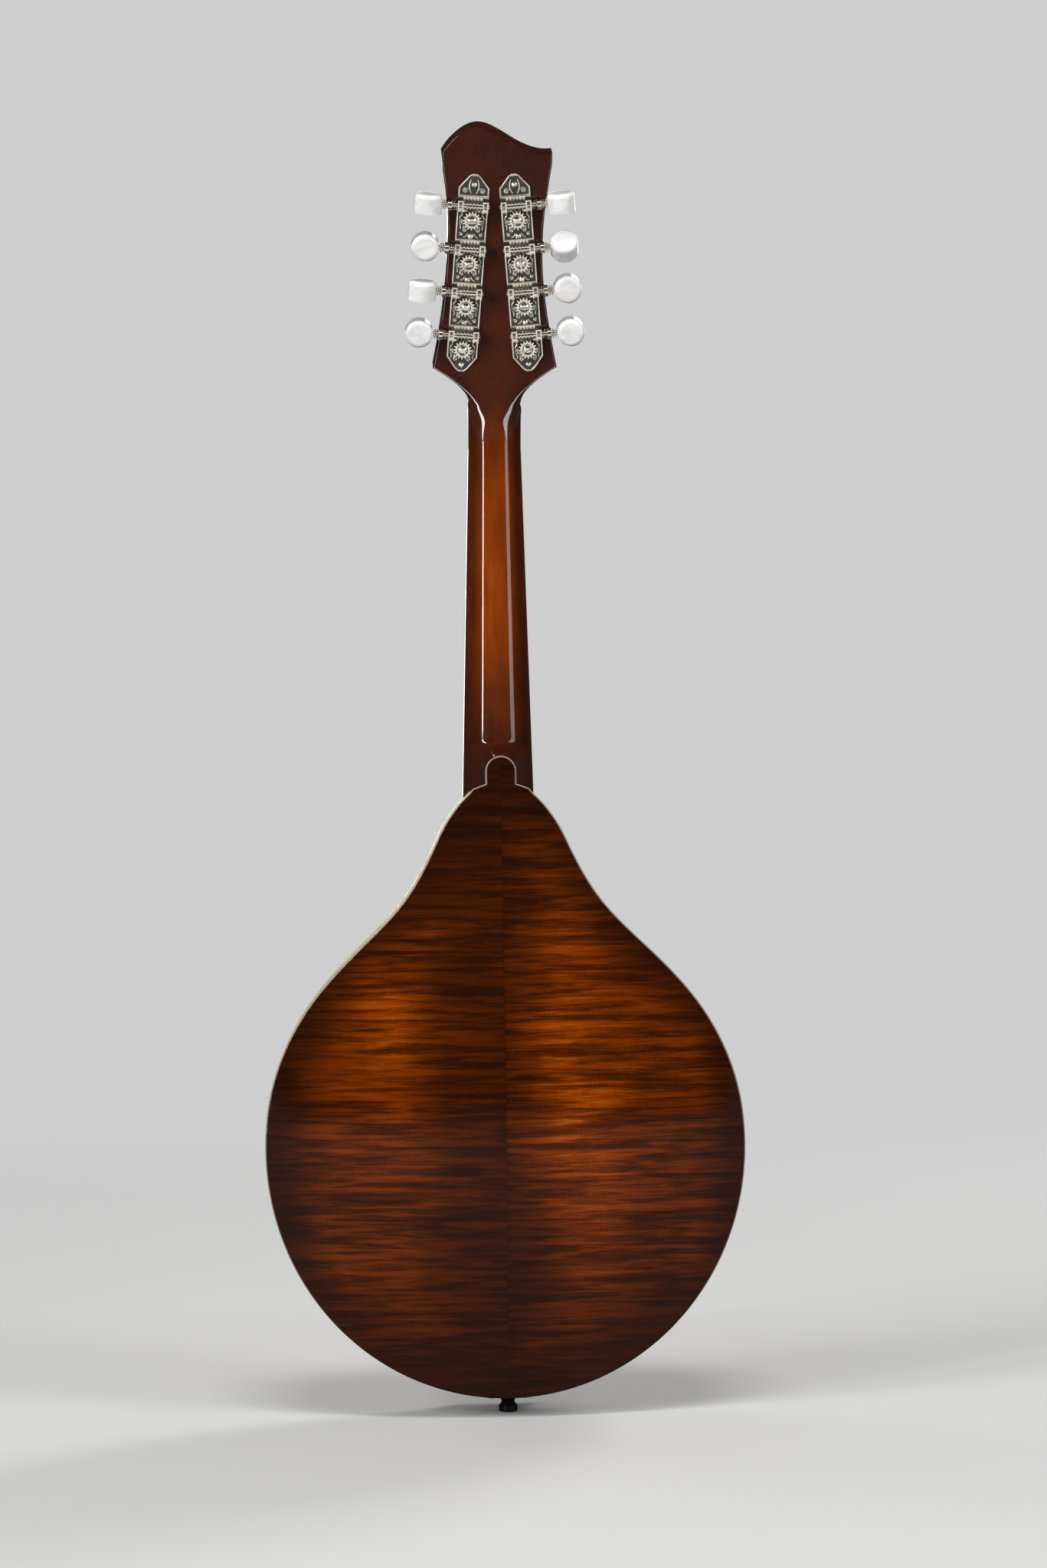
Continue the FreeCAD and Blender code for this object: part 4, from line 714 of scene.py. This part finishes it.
def make_neck():
    """The neck, heel and headstock as one skin: grids over the back and front, and walls between."""
    # Stations down the shaft and heel, evenly spaced along the ridge.
    fine = np.arange(-122, -190, -0.25)
    ridge = np.concatenate([neck_row(part)[:, COLUMNS // 2] for part in np.array_split(fine, 12)])
    walk = np.concatenate([[0], np.cumsum(np.hypot(np.diff(ridge[:, 1]), np.diff(ridge[:, 2])))])
    heel_z = np.interp(np.arange(0, walk[-1], 0.8), walk, fine)
    shaft_z = np.concatenate([np.arange(-18, -122, -2.0), heel_z])[::-1]
    low_back = np.concatenate([neck_row(part) for part in np.array_split(shaft_z, 24)])
    low_front = low_back.copy()
    edge_x = low_back[:, -1, 0]
    low_front[..., 0] = ACROSS[None, :] * edge_x[:, None]
    low_front[..., 1] = BOARD_THICK
    low_back, low_front = transform(NECK, low_back), transform(NECK, low_front)

    # The headstock's outline, read round its front face.
    loop = flat_loops("neck", np.array(HEAD.inverted()), -HEAD_THICK)[0]
    below_crown = loop[:, 1] < CROWN_LOW - NEAR
    treble, bass = loop[(loop[:, 0] > 0) & below_crown], loop[(loop[:, 0] < 0) & below_crown]
    crown = loop[~below_crown]
    treble, bass = treble[np.argsort(treble[:, 1])], bass[np.argsort(bass[:, 1])]
    crown = crown[np.argsort(crown[:, 0])]

    stations = np.concatenate([np.arange(-16.0, 24, 1.0), np.arange(24, WING_TOP, 0.6), [WING_TOP],
                               np.arange(44.2, 50, 0.8), np.arange(52, 121, 3.0)])
    crown = sampled(crown, 160)
    turn = np.linspace(0, 1, 30)[1:]
    share = 1 - (1 - turn) ** 1.8
    rows_x, rows_z = [], []
    for z in stations:
        far, near = headstock_edge(z, treble), headstock_edge(z, bass)
        if z < 20:
            wide = board_half(min(z + NUT_THICK, 0.0)) + 0.1 * step_up(z, -4, 10)
            mixing = step_up(z, -2, 12)
            far, near = wide + (far - wide) * mixing, -wide + (near + wide) * mixing
        rows_x.append(np.where(ACROSS > 0, ACROSS * far, -ACROSS * near))
        rows_z.append(np.full(COLUMNS, z))
    last_z = stations[-1]
    crown_x = near_end(crown, ACROSS)
    top = np.interp(crown_x, crown[:, 0], crown[:, 1])
    for q in share:
        z_side = last_z + (CROWN_LOW - last_z) * q
        far, near = headstock_edge(z_side, treble), headstock_edge(z_side, bass)
        x = np.where(ACROSS > 0, ACROSS * far, -ACROSS * near)
        rows_x.append(x + (crown_x - x) * q**3)
        rows_z.append(last_z + (top - last_z) * q)
    gx, gz = np.array(rows_x), np.array(rows_z)

    # Distance in from the outline decides how far the back has rounded up.
    border = np.vstack([np.column_stack([gx[:, 0], gz[:, 0]]), np.column_stack([gx[-1], gz[-1]]),
                        np.column_stack([gx[::-1, -1], gz[::-1, -1]])])
    steps = np.concatenate([[0], np.cumsum(np.linalg.norm(np.diff(border, axis=0), axis=1))])
    even = np.arange(0, steps[-1], 0.25)
    border = np.column_stack([np.interp(even, steps, border[:, k]) for k in (0, 1)])
    flat = np.column_stack([gx.ravel(), gz.ravel()])
    inside = np.array([np.linalg.norm(border - point, axis=1).min() for point in flat]).reshape(gx.shape)
    inside[:, 0] = inside[:, -1] = inside[-1] = 0
    flatten = step_up(gz, FLARE_LOW, FLARE_HIGH)
    radius = (board_half(np.minimum(gz + NUT_THICK, 0)) - 0.02) * (1 - flatten) + 1.0 * flatten
    full = depth_at(gz + NUT_THICK) * (1 - flatten) + HEAD_THICK * flatten
    wall = WALL + (HEAD_THICK - 1.0 - WALL) * flatten
    power = FULLNESS + (2.0 - FULLNESS) * flatten
    t = np.clip(inside / radius, 0, 1)
    high = wall + (full - wall) * (1 - (1 - t) ** power) ** (1 / power)

    def bent(level):
        """Points of the grid at heights over the front plane, bending back from neck to headstock."""
        straight = transform(NECK, np.stack([gx, BOARD_THICK + level, gz + NUT_THICK], -1))
        sloped = transform(HEAD, np.stack([gx, level - HEAD_THICK, gz], -1))
        return straight + (sloped - straight) * step_up(gz, BEND_LOW, BEND_HIGH)[..., None]

    top_back, top_front = bent(high), bent(np.zeros_like(gx))
    back = np.concatenate([low_back, top_back])
    front = np.concatenate([low_front, top_front])
    rows = len(back)
    verts = np.concatenate([back.reshape(-1, 3), front.reshape(-1, 3)])
    faces = grid_faces(rows, COLUMNS, 0) + grid_faces(rows, COLUMNS, rows * COLUMNS, flip=True)
    other = rows * COLUMNS
    for r in range(rows - 1):
        for c in (0, COLUMNS - 1):
            a, b = r * COLUMNS + c, (r + 1) * COLUMNS + c
            faces.append([a, b, other + b, other + a] if c else [b, a, other + a, other + b])
    for r in (0, rows - 1):
        for c in range(COLUMNS - 1):
            a, b = r * COLUMNS + c, r * COLUMNS + c + 1
            faces.append([a, b, other + b, other + a] if r else [b, a, other + a, other + b])
    piece = new_object("carved_neck", verts, faces, "instrument", FINISH["neck_maple"])
    float_attribute(piece, "across", np.tile(ACROSS, 2 * rows))
    return weld(piece)


SUPPORT_LOW, SUPPORT_HIGH, SUPPORT_HALF = -254.0, -181.0, 13.0
TOP_SEAT, TOP_RISE = -22.6, 14.0  # a little inside the soundboard's outer face


def make_support():
    """The neck's extension that carries the fingerboard over the soundboard."""
    x = np.linspace(-SUPPORT_HALF, SUPPORT_HALF, 12)
    gx, gz = np.meshgrid(x, np.linspace(SUPPORT_LOW, SUPPORT_HIGH, 30))
    upper = transform(NECK, np.stack([gx, np.full_like(gx, BOARD_THICK), gz], -1))
    lower = upper.copy()
    lower[..., 1] = TOP_SEAT - TOP_RISE * arch(lower[..., 0], lower[..., 2] - DROP)
    rows, columns = gx.shape
    verts = np.concatenate([upper.reshape(-1, 3), lower.reshape(-1, 3)])
    other = rows * columns
    faces = grid_faces(rows, columns) + grid_faces(rows, columns, other, flip=True)
    border = list(range(columns)) + [r * columns + columns - 1 for r in range(1, rows)]
    border += [(rows - 1) * columns + c for c in range(columns - 2, -1, -1)]
    border += [r * columns for r in range(rows - 2, 0, -1)]
    for a, b in zip(border, border[1:] + border[:1]):
        faces.append([a, b, other + b, other + a])
    piece = new_object("board_support", verts, faces, "instrument", FINISH["neck_maple"])
    float_attribute(piece, "across", np.ones(len(verts)))
    return weld(piece, smooth=False)


neck = make_neck()
make_support()
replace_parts(neck, "neck")


# -------- strings
NUT_LINE, SADDLE_TOP = (-1.7, NUT_THICK / 2), -56.0
HOOK_HEIGHT, HOOK_LEVEL, HOOK_RADIUS = 14.0, -31.0, 0.9
COIL_FOOT, POST_RADIUS, GAP = -19.0, 3.0, 0.03
WRAP_TURNS, WRAP_STEPS, WRAP_WIRE, WRAP_START, WRAP_PITCH = 9, 12, 0.16, 1.2, 0.085
COIL_STEPS, COIL_PITCH = 24, 2.05  # the pitch is in radii of the string
# For each string: radius, x at the nut, saddle and hook, height of the saddle's crest, turns on the post.
STRINGS = {
    "g1": (0.50, -11.55, -18.3, -15.4, 152.6, 4), "g2": (0.50, -9.65, -15.7, -11.0, 152.6, 4),
    "d1": (0.33, -4.55, -7.0, -6.6, 154.4, 5), "d2": (0.33, -2.65, -4.4, -2.2, 154.4, 5),
    "a2": (0.205, 2.65, 4.4, 2.2, 153.0, 5), "a1": (0.205, 4.55, 7.0, 6.6, 153.0, 5),
    "e2": (0.14, 9.65, 15.7, 11.0, 154.8, 6), "e1": (0.14, 11.55, 18.3, 15.4, 154.8, 6),
}


def segment(a, b, count):
    return [np.array(a) + (np.array(b) - np.array(a)) * k / count for k in range(count + 1)]


def string_parts(name):
    """Paths of a string's tail, its speaking length and its way round the post."""
    radius, nut_x, saddle_x, hook_x, crest, turns = STRINGS[name]
    side, machine = MACHINES[name]
    loop = HOOK_RADIUS + GAP + radius
    over_nut = np.array(NECK @ Vector((nut_x, *NUT_LINE)))
    saddle = np.array([saddle_x, SADDLE_TOP, crest + DROP])
    eye = np.array([hook_x, HOOK_LEVEL, HOOK_HEIGHT + loop + DROP])
    hook = [eye + loop * np.array([math.sin(a), 0, math.cos(a) - 1]) for a in np.linspace(0, 2 * math.pi, 33)]
    run = saddle - eye
    run /= np.linalg.norm(run)
    aside = np.cross(run, [0, 1, 0])
    aside /= np.linalg.norm(aside)
    up = np.cross(aside, run)
    wrap = []
    for k in range(WRAP_STEPS * WRAP_TURNS + 1):
        turn = 2 * math.pi * k / WRAP_STEPS
        spoke = (radius + WRAP_WIRE) * (math.cos(turn) * aside + math.sin(turn) * up)
        wrap.append(eye + run * (WRAP_START + WRAP_PITCH * k) + spoke)
    local = np.array(machine.inverted() @ Vector(over_nut))
    ring = POST_RADIUS + GAP + radius
    first = math.atan2(local[2], local[0]) - side * math.acos(ring / math.hypot(local[0], local[2]))
    coil = []
    for k in range(COIL_STEPS * turns + 1):
        turn = first - side * 2 * math.pi * k / COIL_STEPS
        y = COIL_FOOT - COIL_PITCH * radius * k / COIL_STEPS
        coil.append(np.array(machine @ Vector((ring * math.cos(turn), y, ring * math.sin(turn)))))
    tail = segment(eye, saddle, 24)
    speaking = segment(saddle, over_nut, 40)
    head = segment(over_nut, coil[0], 20) + coil[1:]
    return (hook, wrap, tail, speaking, head), radius


def make_course(course, material):
    """One pair of strings: tails below the saddle, lengths above it, and ends on the hooks and posts."""
    tails, lengths, ends = [], [], []
    for name in (course + "1", course + "2"):
        (hook, wrap, tail, speaking, head), radius = string_parts(name)
        tails.append((tail, radius))
        lengths.append((speaking, radius))
        ends += [(head, radius), (hook, radius), (wrap, WRAP_WIRE)]
    finish = FINISH[material]
    tail_piece = tubes(f"string_tails_{course}", tails, None, finish)
    long_piece = tubes(f"string_lengths_{course}", lengths, None, finish)
    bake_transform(tail_piece)
    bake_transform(long_piece)
    tubes(f"string_ends_{course}", ends, "instrument", finish)
    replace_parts(tail_piece, f"strings_{course}")


for course in "gd":
    make_course(course, "bronze_string")
for course in "ae":
    make_course(course, "plain_string")


# -------- engraved tuner plates
def volute(x, z, radius, start, turns, hand, steps=26):
    """A scroll that winds inwards, in a plate's plane."""
    points = []
    for k in range(steps + 1):
        share = k / steps
        turn = math.radians(start) + hand * 2 * math.pi * turns * share
        reach = radius * (1 - 0.86 * share**0.8)
        points.append((x + reach * math.cos(turn), z + reach * math.sin(turn)))
    return points


def leaf(points, count=14):
    return [tuple(p) for p in sampled(points, count)]


def unit_scrolls(full):
    """The scrollwork round one gear, as flat paths with their half-widths; a full panel has more below it."""
    paths = []
    for hand in (1, -1):
        paths.append((volute(hand * 4.7, -1.9, 1.75, 90 - hand * 100, 1.5, hand), 0.3))
        paths.append((volute(hand * 3.3, -5.9, 1.45, 90 + hand * 60, 1.35, -hand), 0.28))
        edge = [(hand * 6.3, 3.6), (hand * 5.2, 2.2), (hand * 6.2, 0.9), (hand * 6.4, -0.4)]
        paths.append((leaf(edge), 0.24))
        paths.append((leaf([(hand * 6.4, -2.6), (hand * 5.6, -4.6), (hand * 5.9, -5.6)]), 0.26))
        paths.append((leaf([(hand * 2.2, -4.4), (hand * 3.6, -3.9), (hand * 4.6, -4.6)]), 0.22))
        if full:
            paths.append((volute(hand * 5.3, -8.2, 1.1, 90 - hand * 60, 1.2, hand), 0.24))
            paths.append((leaf([(hand * 1.6, -7.4), (hand * 2.6, -9.2), (hand * 4.0, -9.7)]), 0.22))
    return paths


def close(points, pieces=6):
    """A closed polygon's outline, with each side cut into even pieces and the first side's start repeated."""
    p = np.array(points + points[:1], float)
    outline = [tuple(a + (b - a) * k / pieces) for a, b in zip(p, p[1:]) for k in range(pieces)]
    return outline + outline[:2]


PLATE_TOP, GEAR_COUNT, PANEL_HALF = 1.2, 4, 7.5
LOW_PANEL = [(-3.2, -10.4), (-1.2, -12.0), (1.2, -12.0), (3.2, -10.4)]  # the pointed foot of a plate


def make_engraving(name, machine):
    """Dark panels with raised scrolls and a bright border line on one tuner plate."""
    side = PANEL_HALF
    panels = [([(-side, 3.7), (-side, -4.7), *LOW_PANEL, (side, -4.7), (side, 3.7)], unit_scrolls(False), 0)]
    for n in range(1, GEAR_COUNT):
        z = n * GEAR_STEP
        panels.append(([(-side, z + 3.7), (-side, z - 10.9), (side, z - 10.9), (side, z + 3.7)],
                       unit_scrolls(True), z))
    top = (GEAR_COUNT - 1) * GEAR_STEP
    crest = [(-side, top + 12.4), (side, top + 12.4), (side, top + 16.3), (2.3, top + 22.8),
             (-2.3, top + 22.8), (-side, top + 16.3)]
    plumes = []
    for hand in (1, -1):
        plumes.append((volute(hand * 4.4, 14.9, 1.6, 90 + hand * 70, 1.4, -hand), 0.28))
        plumes.append((leaf([(hand * 1.1, 13.4), (hand * 2.4, 16.2), (hand * 1.6, 20.8)]), 0.26))
    panels.append((crest, plumes, top))
    verts, faces = [], []
    for shape, _, _ in panels:
        start, count = len(verts), len(shape)
        for level in (PLATE_TOP - 0.05, PLATE_TOP + 0.06):
            verts += [(x, level, z) for x, z in shape]
        faces.append([start + k for k in range(count)])
        faces.append([start + count + k for k in range(count)][::-1])
        for k in range(count):
            j = (k + 1) % count
            faces.append([start + k, start + count + k, start + count + j, start + j])
    ground = new_object(f"engraving_ground_{name}", transform(machine, np.array(verts)), faces, "instrument",
                        FINISH["niello"])
    weld(ground, smooth=False)
    paths = []
    for shape, scrolls, base in panels:
        border = np.array([(x, PLATE_TOP + 0.02, z) for x, z in close(shape)])
        paths.append((transform(machine, border), 0.24))
        for flat, half in scrolls:
            placed = transform(machine, np.array([(x, PLATE_TOP + 0.04, z + base) for x, z in flat]))
            width = 1.5 * half * np.sin(np.linspace(0.3, math.pi - 0.45, len(placed))) ** 0.6
            paths.append((placed, width))
    tubes(f"engraving_{name}", paths, "instrument", FINISH["nickel_engraving"], 8)


make_engraving("bass", MACHINES["g1"][1])
make_engraving("treble", MACHINES["e1"][1])


# -------- floor, light and camera
PALE = (0.62, 0.62, 0.62)
FLOOR_HALF, FLOOR_COUNT = 9000.0, 24


def make_floor():
    """A pale floor that passes into the backdrop with distance."""
    s = Shader("floor_finish")
    x, y, z = s.axes()
    cloud = s.noise((1.4, 1.4, 1.4), 3.0)
    seen = s.add("LightPath").outputs["Is Camera Ray"]
    pale = s.mix(cloud, (0.6, 0.6, 0.6), (0.66, 0.655, 0.65))
    s.set(Base_Color=s.mix(seen, (0.12, 0.12, 0.12), pale), Roughness=0.9, Specular_IOR_Level=0.1)
    away = s.math("SQRT", s.math("ADD", s.math("MULTIPLY", x, x), s.math("MULTIPLY", y, y)))
    fading = s.math("MULTIPLY", s.spread(away, 0.35, 1.9), seen)
    glow = s.add("Emission", {"Color": (*PALE, 1), "Strength": 1.0}).outputs[0]
    mixed = s.add("MixShader", {0: fading, 1: s.surface.outputs[0], 2: glow}).outputs[0]
    s.tree.links.new(mixed, s.tree.nodes["Material Output"].inputs["Surface"])
    low = float(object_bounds()[0][2]) / MM - 0.05
    line = np.linspace(-FLOOR_HALF, FLOOR_HALF, FLOOR_COUNT)
    gx, gy = np.meshgrid(line, line)
    verts = np.stack([gx, gy, np.full_like(gx, low)], -1).reshape(-1, 3)
    new_object("floor", verts, grid_faces(FLOOR_COUNT, FLOOR_COUNT), None, s.material, False)


def soft_light(name, place, aim, size, power, use="both", receivers=None, turn=0.0):
    """A soft box; it can serve reflections or diffuse light alone, and can light only some pieces."""
    lamp = bpy.data.lights.new(name, "AREA")
    lamp.shape, lamp.energy = "RECTANGLE", power
    lamp.size, lamp.size_y = size
    made = bpy.data.objects.new(name, lamp)
    bpy.context.scene.collection.objects.link(made)
    made.location = place
    made.rotation_mode = "QUATERNION"
    look = (Vector(aim) - Vector(place)).to_track_quat("-Z", "Y")
    made.rotation_quaternion = Matrix.Rotation(math.radians(turn), 3, "Z").to_quaternion() @ look
    made.visible_camera = False
    made.visible_glossy, made.visible_diffuse = use != "diffuse", use != "shine"
    if receivers:
        made.light_linking.receiver_collection = receivers


def make_world():
    """The pale backdrop that the camera sees, and a very dim surround for all other rays."""
    world = bpy.data.worlds.new("studio")
    bpy.context.scene.world = world
    world.use_nodes = True
    tree = world.node_tree
    tree.nodes.clear()
    seen, other = tree.nodes.new("ShaderNodeBackground"), tree.nodes.new("ShaderNodeBackground")
    seen.inputs[0].default_value, seen.inputs[1].default_value = (*PALE, 1), 1.0
    other.inputs[0].default_value, other.inputs[1].default_value = (1, 0.98, 0.95, 1), 0.02
    path, mixed = tree.nodes.new("ShaderNodeLightPath"), tree.nodes.new("ShaderNodeMixShader")
    out = tree.nodes.new("ShaderNodeOutputWorld")
    tree.links.new(path.outputs["Is Camera Ray"], mixed.inputs[0])
    tree.links.new(other.outputs[0], mixed.inputs[1])
    tree.links.new(seen.outputs[0], mixed.inputs[2])
    tree.links.new(mixed.outputs[0], out.inputs[0])


CAMERA_AIM = Vector((-0.0127, 0.0, 0.3333))
CAMERA_YAW, CAMERA_ROLL, CAMERA_Y = 2.0, 0.77, 2.023


def make_camera():
    """A camera behind the instrument, a little to its treble side and a little rolled."""
    data = bpy.data.cameras.new("camera")
    data.sensor_width, data.lens = 36.0, 86.9
    camera = bpy.data.objects.new("camera", data)
    bpy.context.scene.collection.objects.link(camera)
    reach = math.tan(math.radians(CAMERA_YAW)) * CAMERA_Y
    camera.location = CAMERA_AIM + Vector((reach, CAMERA_Y, 0))
    camera.rotation_mode = "QUATERNION"
    look = (CAMERA_AIM - camera.location).to_track_quat("-Z", "Y")
    camera.rotation_quaternion = look @ Matrix.Rotation(math.radians(-CAMERA_ROLL), 4, "Z").to_quaternion()
    data.clip_start, data.clip_end = 0.01, 60
    bpy.context.scene.camera = camera


make_floor()
make_world()
make_camera()
METALS = ("nickel", "brass", "niello", "rod_steel", "bronze", "plain")
metal_parts = bpy.data.collections.new("metal_parts")
neck_parts = bpy.data.collections.new("neck_parts")
front_parts = bpy.data.collections.new("front_parts")
neck_parts.objects.link(neck)
for piece in bpy.context.scene.objects:
    if piece.type == "MESH" and piece.data.materials[0].name.startswith(METALS):
        metal_parts.objects.link(piece)
    if piece.type == "MESH" and piece.name not in ("carved_neck", "carved_back", "floor"):
        front_parts.objects.link(piece)

MIDDLE, BODY, LOW_BODY, TUNERS = (0, 0, 0.42), (0, 0, 0.35), (0, 0, 0.3), (0, 0.03, 0.6)
# Name, place, aim, size and power, then its use, the only pieces it lights and its turn about the vertical.
soft_light("key_left", (1.75, 2.1, 0.75), MIDDLE, (0.16, 2.0), 34)
soft_light("fill_right", (-1.6, 2.0, 0.7), MIDDLE, (0.62, 1.9), 13)
soft_light("floor_left", (0.9, 1.0, 0.01), (0.9, 1.0, 1.0), (0.15, 2.3), 22, "shine", neck_parts, -41.9)
soft_light("floor_right", (-0.87, 1.03, 0.01), (-0.87, 1.03, 1.0), (0.25, 2.3), 14, "shine", neck_parts, 40.2)
soft_light("wide_left", (2.2, 1.5, 1.3), BODY, (0.8, 1.6), 42, "diffuse")
soft_light("wide_right", (-2.2, 1.5, 1.2), BODY, (0.8, 1.6), 34, "diffuse")
soft_light("overhead", (0.0, 1.4, 3.0), LOW_BODY, (1.2, 0.6), 36, "diffuse")
soft_light("tuner_low", (0.0, 0.82, 0.02), (0, 0.82, 1.0), (1.6, 0.9), 3.6, "shine", metal_parts)
soft_light("tuner_high", (0.0, 1.6, 1.5), TUNERS, (1.5, 0.6), 5.0, "shine", metal_parts)
soft_light("tuner_low_left", (1.2, 0.5, 0.3), TUNERS, (0.5, 0.5), 2.4, "shine", metal_parts)
soft_light("tuner_low_right", (-1.2, 0.5, 0.3), TUNERS, (0.5, 0.5), 2.0, "shine", metal_parts)
soft_light("front_key", (-1.6, -2.0, 1.5), BODY, (0.9, 1.4), 45, "diffuse")
soft_light("front_fill", (2.0, -1.6, 0.9), BODY, (0.9, 1.4), 16, "diffuse")
soft_light("front_sheen", (-0.9, -2.2, 1.3), LOW_BODY, (0.9, 1.3), 9, "shine", front_parts)
soft_light("front_card", (0.9, -1.6, 0.35), (0, 0, 0.2), (0.8, 1.0), 6, "shine", metal_parts)
soft_light("front_floor", (0, -1.1, 0.01), (0, -1.1, 1.0), (1.8, 1.6), 5, "shine", metal_parts)
soft_light("front_strip", (0.0, -2.6, 0.8), BODY, (0.3, 1.8), 7, "shine")
bpy.context.scene.view_settings.view_transform = "Standard"
